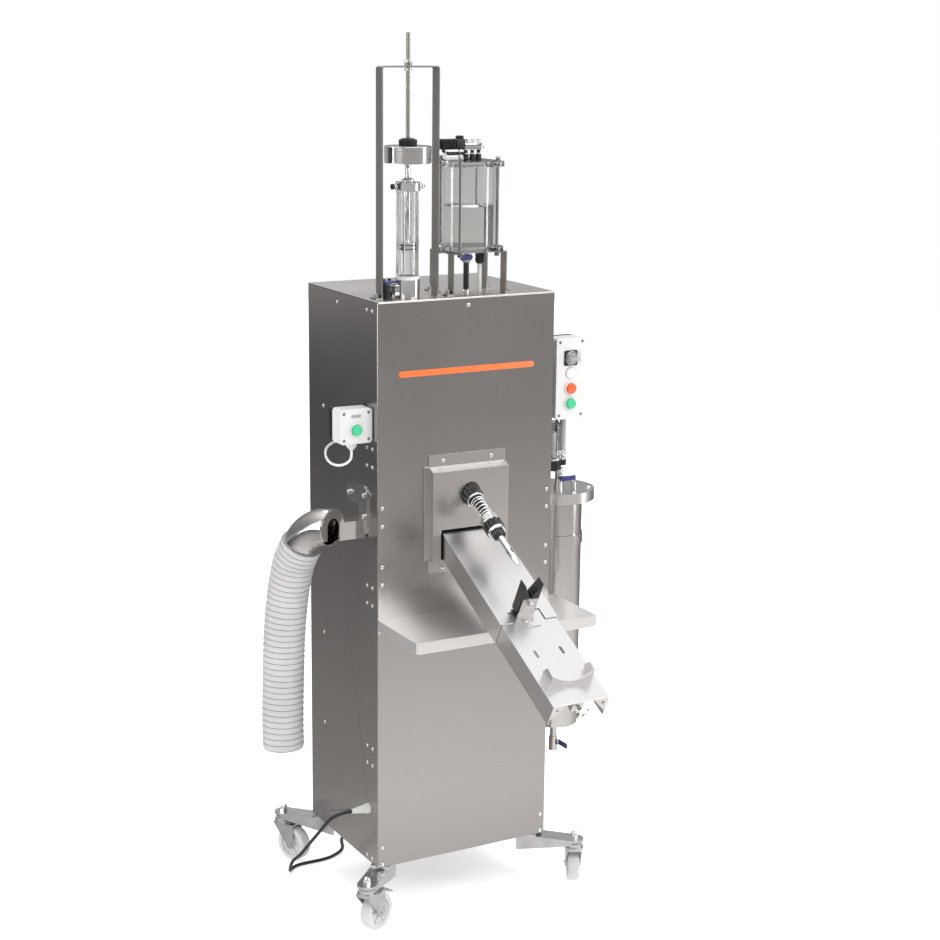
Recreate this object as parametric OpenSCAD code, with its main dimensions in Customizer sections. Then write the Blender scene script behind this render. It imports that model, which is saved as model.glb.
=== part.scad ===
// Piston dosing and filling machine for bottles, on four casters.
// X runs to the right along the front, Y runs to the back, Z is up.
// The origin is on the floor, under the middle of the machine.

/* [Cabinet] */
// Width of the cabinet
cab_w = 390; // [380:1:480]
// Depth of the cabinet
cab_d = 320; // [310:1:400]
// Height of the cabinet's sheet metal
cab_h = 1150; // [1110:1:1400]
// Height of the cabinet's bottom over the floor
base_h = 108; // [104:1:140]
// Thickness of the cabinet sheet
sheet = 2; // [1.5:0.1:3]
// Diameter of the panel screws' heads
screw_d = 8; // [6:0.5:10]

/* [Casters] */
// Distance of each swivel axis outside the cabinet's corner, along X and along Y
stem_out = 47; // [44:1:60]
// Diameter of the wheels
wheel_d = 75; // [60:1:80]
// Width of the wheel tread
wheel_w = 24; // [18:1:28]
// Trail of the wheel axle behind the swivel axis
trail = 28; // [24:1:34]
// Diameter of the wheel axle
axle_d = 10; // [8:0.5:12]

/* [Bottle carriage] */
// Tilt of the carriage and of the nozzle
tilt = 27.5; // [24:0.5:30]
// Height over the cabinet's bottom at which the carriage leaves the cover
tray_z = 688; // [660:1:720]
// Width of the carriage
tray_w = 125; // [110:1:135]
// Length of the carriage in front of the cover
tray_len = 262; // [240:1:300]
// Depth of the side flanges
flange_h = 47; // [45:1:55]
// Length of the extension that shows beyond the carriage
ext_len = 216; // [180:1:240]
// Side clearance between carriage and extension
ext_gap = 0.5; // [0.3:0.1:1]
// Sheet thickness of the carriage
tray_t = 2; // [1.5:0.1:3]
// Diameter of the guide rails
rail_d = 12; // [10:1:16]

/* [Nozzle] */
// Height of the nozzle axis over the carriage
nozzle_h = 67; // [62:1:80]
// Diameter of the fluted housing
housing_d = 40; // [34:1:44]
// Outer diameter of the filling tube
fill_d = 14; // [10:1:16]
// Radial clearance of the sliding bush on the tube
bush_gap = 0.05; // [0.03:0.01:0.1]

/* [Dosing unit] */
// Place of the dosing axis from the cabinet's left side
dose_x = 84; // [78:1:100]
// Place of the dosing axis from the cabinet's front
dose_y = 42; // [40:1:60]
// Height of the yoke over the cabinet
yoke_h = 436; // [420:1:480]
// Distance between the middles of the yoke's posts
yoke_w = 119.5; // [110:0.5:124]
// Outer diameter of the glass cylinder
glass_d = 38; // [34:1:44]
// Wall of the glass cylinder
glass_wall = 2.5; // [2:0.1:4]
// Length of the glass cylinder
glass_len = 171; // [160:1:190]
// Diameter of the piston's weight disc
disc_d = 90; // [80:1:100]

/* [Reservoir] */
// Place of the reservoir's axis from the cabinet's left side
res_x = 231; // [225:1:260]
// Place of the reservoir's axis from the cabinet's front
res_y = 68; // [64:1:90]
// Side of the square end plates
res_plate = 110; // [108:1:116]
// Outer diameter of the clear tube
res_d = 106; // [84:1:107]
// Length of the clear tube
res_len = 154; // [120:1:200]
// Height of the stand
stand_h = 82; // [70:1:110]

/* [Tank] */
// Distance of the tank's axis from the cabinet's right side
tank_x = 80; // [78:1:100]
// Place of the tank's axis from the cabinet's front
tank_y = 100; // [90:1:140]
// Diameter of the tank's body
tank_d = 100; // [90:1:108]
// Diameter of the lid
lid_d = 150; // [130:1:152]
// Length of the tank's body
tank_len = 495; // [420:1:520]
// Height of the tank's bottom over the cabinet's bottom
tank_z = 205; // [190:1:240]

/* [Shelf and controls] */
// Depth of the shelf
shelf_d = 165; // [140:1:175]
// Height of the shelf's top over the cabinet's bottom
shelf_z = 524; // [500:1:535]
// Width of a control box
box_w = 68; // [60:1:72]
// Height of the long control box
box_h = 166; // [160:1:190]
// Diameter of the push buttons
button_d = 22; // [18:1:26]

/* [Collector] */
// Outer diameter of the collector's pipe
pipe_d = 74; // [66:1:76]
// Diameter of the corrugated hose
hose_d = 80; // [68:1:84]

/* [Hidden] */

$fn = 48;
hull_fn = 32;
// running clearance between parts that turn or slide on each other
run_gap = 0.05;
// air gap between parts that only stand near each other
air = 0.3;

// colours
steel = [0.66, 0.65, 0.64];
bright = [0.80, 0.80, 0.80];
dark = [0.10, 0.10, 0.11];
white = [0.93, 0.93, 0.92];
blue = [0.22, 0.24, 0.62];
clear = [0.85, 0.90, 0.92, 0.4];

// extents that set the origin under the middle of the machine
cover_d = 20;
x_right = cab_w + tank_x + lid_d / 2;
elbow_x = -76;
elbow_y = 46;
elbow_z = 710;
elbow_r = 90;
elbow_turn = 60;
elbow_yaw = 25;
elbow_lean = cos(elbow_turn) * sin(elbow_yaw);
x_left = elbow_x - elbow_r * sin(elbow_turn) * sin(elbow_yaw)
    - pipe_d / 2 * sqrt(1 - elbow_lean * elbow_lean);
ext_end = tray_len + ext_len;
screw_h = -19;
screw_shank = 8;
screw_grip_d = 27;
screw_out = 19;
y_front = -cover_d - (ext_end + screw_out) * cos(tilt) - (screw_h + screw_grip_d / 2) * sin(tilt);
turn_rr = 150;
tread_edge = 3;
y_back = cab_d + stem_out + (trail + wheel_d / 2 - tread_edge) * sin(turn_rr)
    + wheel_w / 2 * abs(cos(turn_rr));
origin_x = (x_left + x_right) / 2;
origin_y = (y_front + y_back) / 2;

// places the cabinet's front left bottom corner in the machine's frame
module machine() {
    translate([-origin_x, -origin_y, base_h]) children();
}

// frame on the carriage: X across, -Y down the slope from the cover, Z square to the tray
module slope() {
    translate([cab_w / 2, -cover_d, tray_z]) rotate([tilt, 0, 0]) children();
}

// ---- small shapes used all over ----
module rrect(w, h, r) {
    square([w - 2 * r, h], center = true);
    square([w, h - 2 * r], center = true);
    for (x = [-1, 1], y = [-1, 1]) {
        translate([x * (w / 2 - r), y * (h / 2 - r)]) circle(r);
    }
}

module ring(r_out, r_in, h) {
    difference() {
        cylinder(r = r_out, h = h);
        translate([0, 0, -1]) cylinder(r = r_in, h = h + 2);
    }
}

module dome_head(d, h) {
    rotate_extrude() polygon([[0, 0], [d / 2, 0], [d / 2, h * 0.3], [d * 0.34, h * 0.8], [0, h]]);
}

module acorn_nut(d, h) {
    cylinder(d = d, h = h * 0.45, $fn = 6);
    translate([0, 0, h * 0.45]) dome_head(d * 0.85, h * 0.55);
}

// a tube swept along a list of points, with the given number of sides
function unit(v) = v / norm(v);
function side_of(d) = abs(d.z) > 0.9 ? unit(cross(d, [0, 1, 0])) : unit(cross(d, [0, 0, 1]));
function path_dir(p, i) = i == 0 ? unit(p[1] - p[0])
    : i == len(p) - 1 ? unit(p[i] - p[i - 1])
    : unit(unit(p[i + 1] - p[i]) + unit(p[i] - p[i - 1]));
function carry(s, d) = unit(s - (s * d) * d);
function sides_along(p, i = 0, s = undef) =
    let (d = path_dir(p, i), n = is_undef(s) ? side_of(d) : carry(s, d))
    i == len(p) - 1 ? [n] : concat([n], sides_along(p, i + 1, n));
module swept(p, r, sides = 8) {
    n = len(p);
    normals = sides_along(p);
    points = [for (i = [0:n - 1], k = [0:sides - 1])
        let (d = path_dir(p, i), u = normals[i], v = cross(d, u), a = 360 * k / sides)
        p[i] + r * (cos(a) * u + sin(a) * v)];
    caps = [[for (k = [0:sides - 1]) k], [for (k = [sides - 1:-1:0]) (n - 1) * sides + k]];
    walls = [for (i = [0:n - 2], k = [0:sides - 1])
        let (a = i * sides + k, b = i * sides + (k + 1) % sides) [a, a + sides, b + sides, b]];
    polyhedron(points, concat(caps, walls), convexity = 6);
}
// points of a smooth curve through hand-picked points
function spline(p, i, t) =
    let (n = len(p) - 1, a = p[max(i - 1, 0)], b = p[i], c = p[i + 1], d = p[min(i + 2, n)])
    0.5 * (2 * b + (c - a) * t + (2 * a - 5 * b + 4 * c - d) * t * t
        + (3 * b - a - 3 * c + d) * t * t * t);
function smooth(p, steps) = concat(
    [for (i = [0:len(p) - 2], k = [0:steps - 1]) spline(p, i, k / steps)], [p[len(p) - 1]]);

// ---- cabinet ----
gland_y = 38;
gland_z = 117;
gland_hole = 8;
module cabinet_shell() {
    color(steel) machine() difference() {
        translate([0, sheet, 0]) cube([cab_w, cab_d - sheet, cab_h - sheet]);
        translate([sheet, 0, -1]) cube([cab_w - 2 * sheet, cab_d - sheet, cab_h + 2]);
        // hole for the mains gland
        translate([-1, gland_y, gland_z]) rotate([0, 90, 0]) cylinder(r = gland_hole, h = sheet + 2);
    }
}

slot_w = tray_w + 8;
slot_low = tray_z - 58;
slot_top = tray_z + 16;
module tray_slot(y, depth, top) {
    translate([(cab_w - slot_w) / 2, y, slot_low]) cube([slot_w, depth, top - slot_low]);
}
module nozzle_hole(r) {
    slope() translate([0, 80, nozzle_h]) rotate([90, 0, 0]) cylinder(r = r, h = 160);
}
module front_panel() {
    color(steel) machine() difference() {
        cube([cab_w, sheet, cab_h - sheet]);
        tray_slot(-1, sheet + 2, slot_top);
        nozzle_hole(housing_d / 2 + air);
    }
}

module top_panel() {
    color(steel) machine() translate([0, 0, cab_h - sheet]) cube([cab_w, cab_d, sheet]);
}

module base_plate() {
    color(steel) machine() {
        translate([sheet, sheet, 0]) cube([cab_w - 2 * sheet, cab_d - 2 * sheet, sheet]);
    }
}

// heights of the screw pairs on the front and side edges
pair_gap = 36;
front_pairs = [722 + 8, 612, 24];
side_pairs = [862 - pair_gap / 2, 565, 230];
screw_in = 10;
cover_w = 170;
cover_h = 180;
cover_z = 632;
module side_screw(x, y, z) {
    translate([x, y, z]) rotate([0, x > 1 ? 90 : -90, 0]) dome_head(screw_d, 2.4);
}
module front_screw(x, y, z) {
    translate([x, y, z]) rotate([90, 0, 0]) dome_head(screw_d, 2.4);
}
module fasteners() {
    color(bright) machine() {
        for (z = front_pairs, s = [-0.5, 0.5], x = [screw_in, cab_w - screw_in]) {
            front_screw(x, 0, z + s * pair_gap);
        }
        front_screw(cab_w / 2, 0, cab_h - 16);
        for (z = side_pairs, s = [-0.5, 0.5], y = [24, 48]) side_screw(0, y, z + s * pair_gap);
        for (y = [24, 48]) side_screw(0, y, cab_h - 20);
        for (y = [24, 48]) side_screw(0, y, 12);
        for (z = [cab_h - 20, cab_h * 0.6, 230], y = [82, cab_d - 60]) {
            side_screw(cab_w, y, z);
        }
        side_screw(0, 182, cab_h - 22);
        side_screw(0, cab_d - 70, 908);
        side_screw(0, cab_d - 68, 428);
        side_screw(0, cab_d - 68, 230);
        for (x = [-1, 1] * 54) front_screw(cab_w / 2 + x, -sheet, cover_z + cover_h + 19);
        for (x = [-1, 1] * 54) front_screw(cab_w / 2 + x, -sheet, cover_z - 19);
        // domed nuts on the caster stems
        at_stems() translate([0, 0, arm_top]) acorn_nut(17, 16);
    }
}

// ---- casters ----
arm_top = -4;
arm_t = 5;
arm_w = 40;
arm_skirt = 18;
module at_stems() {
    for (x = [0, 1], y = [0, 1]) {
        translate([x * (cab_w + 2 * stem_out) - stem_out, y * (cab_d + 2 * stem_out) - stem_out, 0])
            children();
    }
}
// one arm lies along +X from its stem, and turns to point at the cabinet's middle
reach = stem_out * sqrt(2);
arm_len = reach + 55;
module arm() {
    translate([0, 0, arm_top - arm_t]) linear_extrude(arm_t) {
        circle(d = arm_w);
        translate([0, -arm_w / 2]) square([arm_len, arm_w]);
    }
    for (s = [-1, 1]) translate([0, s * (arm_w / 2 - 1.5) + 1.5, 0]) rotate([90, 0, 0])
        linear_extrude(3) polygon([
            [0, arm_top - arm_t], [0, arm_top - arm_skirt * 0.6], [reach * 0.5, arm_top - arm_skirt],
            [arm_len, arm_top - arm_skirt * 1.9], [arm_len, arm_top - arm_t],
        ]);
    // pad under the base plate
    translate([reach + 12, -arm_w / 2, arm_top]) cube([30, arm_w, -arm_top]);
    // stem collar
    translate([0, 0, arm_top - arm_t - 3]) cylinder(r = 13, h = 3);
}
module caster_arms() {
    color(bright) machine() for (x = [0, 1], y = [0, 1]) {
        translate([x * (cab_w + 2 * stem_out) - stem_out, y * (cab_d + 2 * stem_out) - stem_out, 0])
            rotate([0, 0, x == 0 ? (y == 0 ? 45 : -45) : (y == 0 ? 135 : -135)]) arm();
    }
}

// where each caster stands and which way its wheel trails
stem_fl = [-stem_out, -stem_out, 0];
stem_fr = [cab_w + stem_out, -stem_out, 0];
stem_rl = [-stem_out, cab_d + stem_out, 0];
stem_rr = [cab_w + stem_out, cab_d + stem_out, 0];
turn_fl = 24;
turn_fr = 62;
turn_rl = -64;
fork_top = arm_top - arm_t - 3 - air;
axle_z = wheel_d / 2 - base_h;
fork_in = wheel_w / 2 + 2;
fork_t = 2.5;
module placed(stem, turn) {
    machine() translate(stem) rotate([0, 0, turn]) children();
}
module fork() {
    // swivel head
    translate([0, 0, fork_top - 9]) cylinder(r = 17, h = 9);
    translate([0, 0, fork_top - 14]) cylinder(r = 20, h = 5);
    translate([-16, -fork_in - fork_t, fork_top - 17]) cube([52, 2 * (fork_in + fork_t), 3]);
    // legs
    for (s = [-1, 1]) {
        translate([0, s * (fork_in + fork_t / 2) + fork_t / 2, 0]) rotate([90, 0, 0])
            linear_extrude(fork_t) difference() {
                union() {
                    polygon([
                        [-16, fork_top - 17], [36, fork_top - 17],
                        [trail + 10, axle_z], [trail - 10, axle_z],
                    ]);
                    translate([trail, axle_z]) circle(r = 10);
                }
                translate([trail, axle_z]) circle(d = 6);
            }
    }
    // fixed axle tube between the legs
    translate([trail, fork_in + fork_t + 2, axle_z]) rotate([90, 0, 0]) {
        cylinder(d = 6, h = 2 * (fork_in + fork_t + 2));
        translate([0, 0, fork_t + 2]) cylinder(d = axle_d, h = 2 * fork_in);
    }
}
module wheel() {
    translate([trail, wheel_w / 2, axle_z]) rotate([90, 0, 0]) difference() {
        union() {
            cylinder(d = wheel_d - 2 * tread_edge, h = wheel_w);
            translate([0, 0, 3]) cylinder(d = wheel_d, h = wheel_w - 6);
            translate([0, 0, -1.5]) cylinder(d = 22, h = wheel_w + 3);
        }
        translate([0, 0, -2]) cylinder(d = axle_d + 2 * run_gap, h = wheel_w + 4);
        // dished sides
        for (z = [-0.01, wheel_w - 3]) translate([0, 0, z]) ring(26, 13, 3.01);
    }
}
module fork_fl() { color(bright) placed(stem_fl, turn_fl) fork(); }
module fork_fr() { color(bright) placed(stem_fr, turn_fr) fork(); }
module fork_rl() { color(bright) placed(stem_rl, turn_rl) fork(); }
module fork_rr() { color(bright) placed(stem_rr, turn_rr) fork(); }
module wheel_fl() { color(white) placed(stem_fl, turn_fl) wheel(); }
module wheel_fr() { color(white) placed(stem_fr, turn_fr) wheel(); }
module wheel_rl() { color(white) placed(stem_rl, turn_rl) wheel(); }
module wheel_rr() { color(white) placed(stem_rr, turn_rr) wheel(); }
// brake pedal, pivoting behind the swivel head
pedal_x = 39;
pedal_z = fork_top - 16;
pedal_slope = 22;
module pedal() {
    translate([pedal_x, 14, pedal_z]) rotate([90, 0, 0]) cylinder(r = 2.7, h = 28);
    translate([pedal_x, -14, pedal_z]) rotate([0, pedal_slope, 0]) translate([0, 0, -1.5])
        cube([27, 28, 3]);
}
module brake_pedal_fl() { color(bright) placed(stem_fl, turn_fl) pedal(); }
module brake_pedal_fr() { color(bright) placed(stem_fr, turn_fr) pedal(); }

// ---- cover and shelf ----
cover_drop = 9;
cover_flange = 22;
cover_t = 1.5;
module cover_side(inset) {
    // side outline of the box: the top slopes down to the front
    polygon([
        [0, cover_z + inset], [-cover_d + inset, cover_z + inset],
        [-cover_d + inset, cover_z + cover_h - inset], [0, cover_z + cover_h + cover_drop - inset],
    ]);
}
module cover_block(inset) {
    translate([cab_w / 2 - cover_w / 2 + inset, 0, 0]) rotate([90, 0, 90])
        linear_extrude(cover_w - 2 * inset) cover_side(inset);
}
module nozzle_cover() {
    color(steel) machine() difference() {
        union() {
            cover_block(0);
            // flanges on the panel
            translate([cab_w / 2 - cover_w / 2 - 10, -sheet, cover_z])
                cube([12, sheet, cover_h + cover_drop]);
            translate([cab_w / 2 - cover_w / 2, -sheet, cover_z + cover_h])
                cube([cover_w, sheet, cover_drop + cover_flange]);
            translate([cab_w / 2 - cover_w / 2, -sheet, cover_z - cover_flange - 6])
                cube([cover_w, sheet, cover_flange + 7]);
        }
        intersection() {
            cover_block(cover_t);
            translate([0, -cover_d, cover_z]) cube([cab_w, cover_d + 1, cover_h + cover_drop]);
        }
        translate([cab_w / 2 - cover_w / 2 + cover_t, -sheet - 1, cover_z + cover_t])
            cube([cover_w - 2 * cover_t, sheet + 2, cover_h - 2 * cover_t]);
        tray_slot(-cover_d - 1, cover_d + 2, tray_z + 7);
        nozzle_hole(housing_d / 2 + air);
    }
}

shelf_lip = 23;
module shelf() {
    color(steel) machine() difference() {
        union() {
            translate([0, -shelf_d, shelf_z - sheet]) cube([cab_w + 12, shelf_d, sheet]);
            translate([0, -shelf_d, shelf_z - shelf_lip]) cube([cab_w + 12, sheet, shelf_lip]);
            // side lips with a rounded lower front corner
            for (x = [0, cab_w + 12 - sheet]) translate([x, 0, shelf_z]) rotate([90, 0, 90])
                linear_extrude(sheet) polygon([
                    [0, 0], [-shelf_d, 0], [-shelf_d, -shelf_lip],
                    [-shelf_d + 1, -shelf_lip], [0, -shelf_lip],
                ]);
            // rear flange on the front panel
            translate([0, -sheet, shelf_z - 28]) cube([cab_w, sheet, 28]);
        }
        // rounded lower corners of the front lip
        for (s = [0, 1]) translate([s * (cab_w + 12), -shelf_d - 1, shelf_z - shelf_lip])
            mirror([s, 0, 0]) difference() {
                translate([-1, 0, -1]) cube([9, sheet + 1.5, 9]);
                translate([8, -1, 8]) rotate([-90, 0, 0]) cylinder(r = 8, h = 20);
            }
    }
}

// ---- rails, cylinder and carriage, in the slope frame ----
rail_x = 35;
rail_h = -30;
rail_start = 27;
rail_end = 300;
rear_plate_t = 5;
plate_w = cab_w - 2 * sheet - 0.2;
module rail_frame() {
    color(steel) machine() {
        slope() {
            for (s = [-1, 1]) translate([s * rail_x, rail_end, rail_h]) rotate([90, 0, 0])
                cylinder(d = rail_d, h = rail_end - rail_start);
            // rear plate between the cabinet's walls
            translate([-plate_w / 2, rail_end, -75]) cube([plate_w, rear_plate_t, 60 + 22]);
            // front beam under the carriage, with an ear for each rail
            translate([-plate_w / 2, rail_start, -75]) cube([plate_w, rear_plate_t, 24]);
            for (s = [-1, 1]) difference() {
                translate([s * rail_x - 10, rail_start, -51]) cube([20, rear_plate_t, 31]);
                translate([s * rail_x, rail_start - 1, rail_h]) rotate([-90, 0, 0])
                    cylinder(d = rail_d - 0.01, h = rear_plate_t + 2);
            }
        }
    }
}

cyl_d = 25;
cyl_front = 165;
rod_d = 10;
module tray_cylinder() {
    color(bright) machine() slope() difference() {
        translate([0, rail_end, rail_h]) rotate([90, 0, 0]) cylinder(d = cyl_d, h = rail_end - cyl_front);
        translate([0, rail_end - 8, rail_h]) rotate([90, 0, 0])
            cylinder(d = cyl_d - 5, h = rail_end - cyl_front - 13);
        translate([0, rail_end - 9, rail_h]) rotate([90, 0, 0])
            cylinder(d = rod_d + 2 * run_gap, h = rail_end - cyl_front);
    }
}

tray_back = 70;
notch_w = 70;
notch_len = 28;
block_len = 30;
module carriage() {
    color(steel) machine() slope() difference() {
        union() {
            translate([-tray_w / 2, -tray_len, -tray_t]) cube([tray_w, tray_len + tray_back, tray_t]);
            for (s = [0, 1]) translate([-tray_w / 2 + s * (tray_w - tray_t), -tray_len, -flange_h])
                cube([tray_t, tray_len + tray_back, flange_h]);
            // bearing blocks on the rails
            for (s = [-1, 1]) translate([s * rail_x - 12, 40, rail_h - 12])
                cube([24, block_len, -rail_h + 12 - tray_t]);
            // lug for the cylinder's rod
            translate([-9, 50, rail_h - 9]) cube([18, 10, -rail_h + 9 - tray_t]);
        }
        translate([-notch_w / 2, -tray_len - 1, -tray_t - 1]) cube([notch_w, notch_len + 1, tray_t + 2]);
        for (s = [-1, 1]) translate([s * rail_x, 40 + block_len + 1, rail_h]) rotate([90, 0, 0])
            cylinder(d = rail_d + 2 * run_gap, h = block_len + 2);
    }
}
module carriage_rod() {
    color(bright) machine() slope() {
        translate([0, 180, rail_h]) rotate([90, 0, 0]) cylinder(d = rod_d, h = 120);
        translate([0, 184, rail_h]) rotate([90, 0, 0]) cylinder(d = cyl_d - 5 - 0.2, h = 8);
    }
}

ext_w = tray_w - 2 * tray_t - 2 * ext_gap;
ext_top = -tray_t - ext_gap;
ext_start = 150;
slot_x = 28;
module tray_extension() {
    color(steel) machine() slope() difference() {
        union() {
            translate([-ext_w / 2, -ext_end, ext_top - tray_t])
                cube([ext_w, ext_end - ext_start, tray_t]);
            for (s = [0, 1]) translate([-ext_w / 2 + s * (ext_w - tray_t), -ext_end, -flange_h - 1])
                cube([tray_t, ext_end - ext_start, flange_h + 1 + ext_top]);
            // corner gussets at the low end
            for (s = [0, 1]) mirror([s, 0, 0]) translate([0, -ext_end + tray_t, ext_top - tray_t])
                rotate([90, 0, 0]) linear_extrude(tray_t) difference() {
                    polygon([[ext_w / 2 - tray_t, 0], [ext_w / 2 - 32, 0], [ext_w / 2 - tray_t, -32]]);
                    translate([ext_w / 2 - 11, -9]) circle(r = 3);
                }
            // threaded block of the thumb screw
            translate([-12, -ext_end + 6, ext_top - tray_t - 26]) cube([24, 14, 26]);
        }
        // slots of the length scale
        for (s = [-1, 1]) translate([s * slot_x, -345, ext_top - tray_t - 1]) linear_extrude(tray_t + 2) {
            square([6, 14], center = true);
            for (y = [-7, 7]) translate([0, y]) circle(d = 6);
        }
        translate([0, -ext_end + 21, screw_h]) rotate([90, 0, 0])
            cylinder(d = screw_shank + 2 * run_gap, h = 30);
    }
}
module thumb_screw() {
    color(bright) machine() slope() translate([0, -ext_end, screw_h]) rotate([90, 0, 0]) {
        translate([0, 0, -22]) cylinder(d = screw_shank, h = 22 + screw_out - 7);
        translate([0, 0, screw_out - 7]) cylinder(d = screw_grip_d, h = 7);
        translate([0, 0, screw_out]) cylinder(d = 10, h = 2);
    }
}

rest_s = 223;
rest_t = 20;
rest_w = 40;
rest_top = 73;
module neck_rest() {
    color(dark) machine() slope() translate([0, -rest_s, 0]) rotate([90, 0, 0]) linear_extrude(rest_t)
        difference() {
            translate([-rest_w / 2, 3]) square([rest_w, rest_top - 3]);
            polygon([[-rest_w / 2 + 1, rest_top + 1], [-4, 46], [4, 46], [rest_w / 2 - 1, rest_top + 1]]);
            translate([-3, 39]) square([6, 10]);
        }
}

body_s = 430;
body_w = 92;
body_t = 2;
body_r = 56;
module rest_brackets() {
    color(steel) machine() slope() {
        // bracket of the neck rest, screwed to the extension
        translate([-17, -rest_s - rest_t - 3, ext_top]) cube([34, 3, 42]);
        difference() {
            translate([-17, -rest_s - rest_t - 34, ext_top]) cube([34, 31, 3]);
            for (x = [-8, 8]) translate([x, -rest_s - rest_t - 20, 0]) circle_cut(4.2);
        }
        for (x = [-8, 8]) translate([x, -rest_s - rest_t - 20, ext_top + 3]) dome_head(8, 2.5);
        translate([0, -rest_s - rest_t - 3, 30]) rotate([90, 0, 0]) acorn_nut(11, 8);
        // cradle of the bottle's body
        translate([-body_w / 2, -body_s - 2, ext_top]) cube([body_w, 30, body_t]);
        translate([0, -body_s, ext_top]) rotate([90, 0, 0]) linear_extrude(body_t) difference() {
            translate([-body_w / 2, 0]) square([body_w, 28]);
            translate([0, body_r + 9]) circle(r = body_r);
        }
        for (s = [0, 1]) mirror([s, 0, 0]) translate([body_w / 2 - body_t, -body_s, ext_top])
            rotate([90, 0, 90]) linear_extrude(body_t)
                polygon([[0, 0], [26, 0], [30, 12], [20, 30], [0, 28]]);
        // clamp bolt on the right wing
        translate([body_w / 2, -body_s + 14, ext_top + 18]) rotate([0, 90, 0]) {
            cylinder(r = 7, h = 6);
            translate([0, 0, 6]) dome_head(9, 4);
        }
    }
}
module circle_cut(d) {
    translate([0, 0, -20]) cylinder(d = d, h = 40);
}

// ---- nozzle ----
// distances along the axis, measured down the slope
bush_s = 42;
house_s = -11;
module along_nozzle(s) {
    slope() translate([0, -s, nozzle_h]) rotate([90, 0, 0]) children();
}
flutes = 12;
module nozzle_housing() {
    color(dark) machine() difference() {
        along_nozzle(-80) cylinder(d = housing_d, h = 80 + house_s);
        along_nozzle(-81) cylinder(d = fill_d + 2 * run_gap, h = 160);
        for (k = [0:flutes - 1]) along_nozzle(-28) rotate([0, 0, 360 * k / flutes])
            translate([housing_d / 2 + 1.6, 0, 0]) cylinder(r = 3, h = 40);
    }
}
tip_s = 178;
module nozzle_tube() {
    color(bright) machine() difference() {
        union() {
            along_nozzle(-110) cylinder(d = fill_d, h = 110 + tip_s - 22);
            along_nozzle(tip_s - 22) cylinder(d1 = fill_d, d2 = fill_d - 5, h = 22);
        }
        along_nozzle(-111) cylinder(d = fill_d - 6, h = 111 + tip_s - 4);
        // outlet slots
        for (a = [0, 90]) along_nozzle(tip_s - 40) rotate([0, 0, a])
            translate([-1.5, -fill_d, 0]) cube([3, 2 * fill_d, 12]);
    }
}
spring_turns = 6;
spring_wire = 3;
spring_r = 13;
spring_len = bush_s - house_s - 0.6;
module nozzle_spring() {
    steps = spring_turns * 16;
    color(bright) machine() slope() translate([0, -house_s - 0.3, nozzle_h]) rotate([90, 0, 0])
        swept([for (k = [0:steps])
            let (a = 360 * k / 16, z = spring_wire / 2 + (spring_len - spring_wire) * k / steps)
            [spring_r * cos(a), spring_r * sin(a), z]], spring_wire / 2, 8);
}
module nozzle_bush() {
    color(dark) machine() difference() {
        union() {
            along_nozzle(bush_s) cylinder(d = 35, h = 13);
            along_nozzle(bush_s + 13) cylinder(d = 40, h = 26);
            along_nozzle(bush_s + 39) cylinder(d = 34, h = 5);
            along_nozzle(bush_s + 44) cylinder(d = 26, h = 13, $fn = 6);
        }
        along_nozzle(bush_s - 1) cylinder(d = fill_d + 2 * bush_gap, h = 80);
    }
}

// ---- dosing unit on the top panel ----
module dosing(z = 0) {
    machine() translate([dose_x, dose_y, cab_h + z]) children();
}
bar_w = 25;
bar_t = 3;
rod_top = 497;
stroke_d = 8;
yoke_r = 6;
yoke_foot = 15;
module yoke() {
    color(steel) dosing() difference() {
        union() {
            for (s = [-1, 1]) {
                translate([s * yoke_w / 2 - bar_t / 2, -bar_w / 2, 0])
                    cube([bar_t, bar_w, yoke_h - yoke_r]);
                // foot bent outwards, with its bolt
                mirror([s > 0 ? 0 : 1, 0, 0]) translate([yoke_w / 2 - bar_t / 2, -bar_w / 2, 0])
                    cube([yoke_foot, bar_w, bar_t]);
                translate([s * (yoke_w / 2 + yoke_foot / 2), 0, bar_t]) acorn_nut(10, 9);
                // rounded upper corner
                translate([s * (yoke_w / 2 + bar_t / 2 - yoke_r), bar_w / 2, yoke_h - yoke_r])
                    rotate([90, 0, 0]) intersection() {
                        ring(yoke_r, yoke_r - bar_t, bar_w);
                        translate([s > 0 ? 0 : -yoke_r, 0, 0]) cube([yoke_r, yoke_r, bar_w]);
                    }
            }
            translate([-yoke_w / 2 - bar_t / 2 + yoke_r, -bar_w / 2, yoke_h - bar_t])
                cube([yoke_w + bar_t - 2 * yoke_r, bar_w, bar_t]);
            // guide bush of the threaded rod
            translate([0, 0, yoke_h]) cylinder(d = 14, h = 6);
        }
        translate([0, 0, yoke_h - bar_t - 1]) cylinder(d = stroke_d + 2 * run_gap, h = 12);
    }
}
disc_z = 256;
disc_h = 32;
knob_z = disc_z + disc_h + air;
knob_h = 15;
module stroke_rod() {
    color(bright) dosing() {
        translate([0, 0, knob_z + knob_h]) cylinder(d = stroke_d, h = rod_top - knob_z - knob_h);
        translate([0, 0, knob_z + 2]) cylinder(d = stroke_d - 3, h = knob_h - 2);
    }
}
module adjuster_knob() {
    color(dark) dosing(knob_z) difference() {
        cylinder(d = 35, h = knob_h - air);
        for (k = [0:17]) rotate([0, 0, 20 * k]) translate([18.4, 0, -1]) cylinder(r = 1.6, h = knob_h + 2);
        translate([0, 0, 2 - air / 2]) cylinder(d = stroke_d - 3 + 2 * run_gap, h = knob_h);
    }
}
glass_z = 42;
cap_h = 17;
piston_d = glass_d - 2 * glass_wall - 0.2;
piston_rod = 10;
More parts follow.
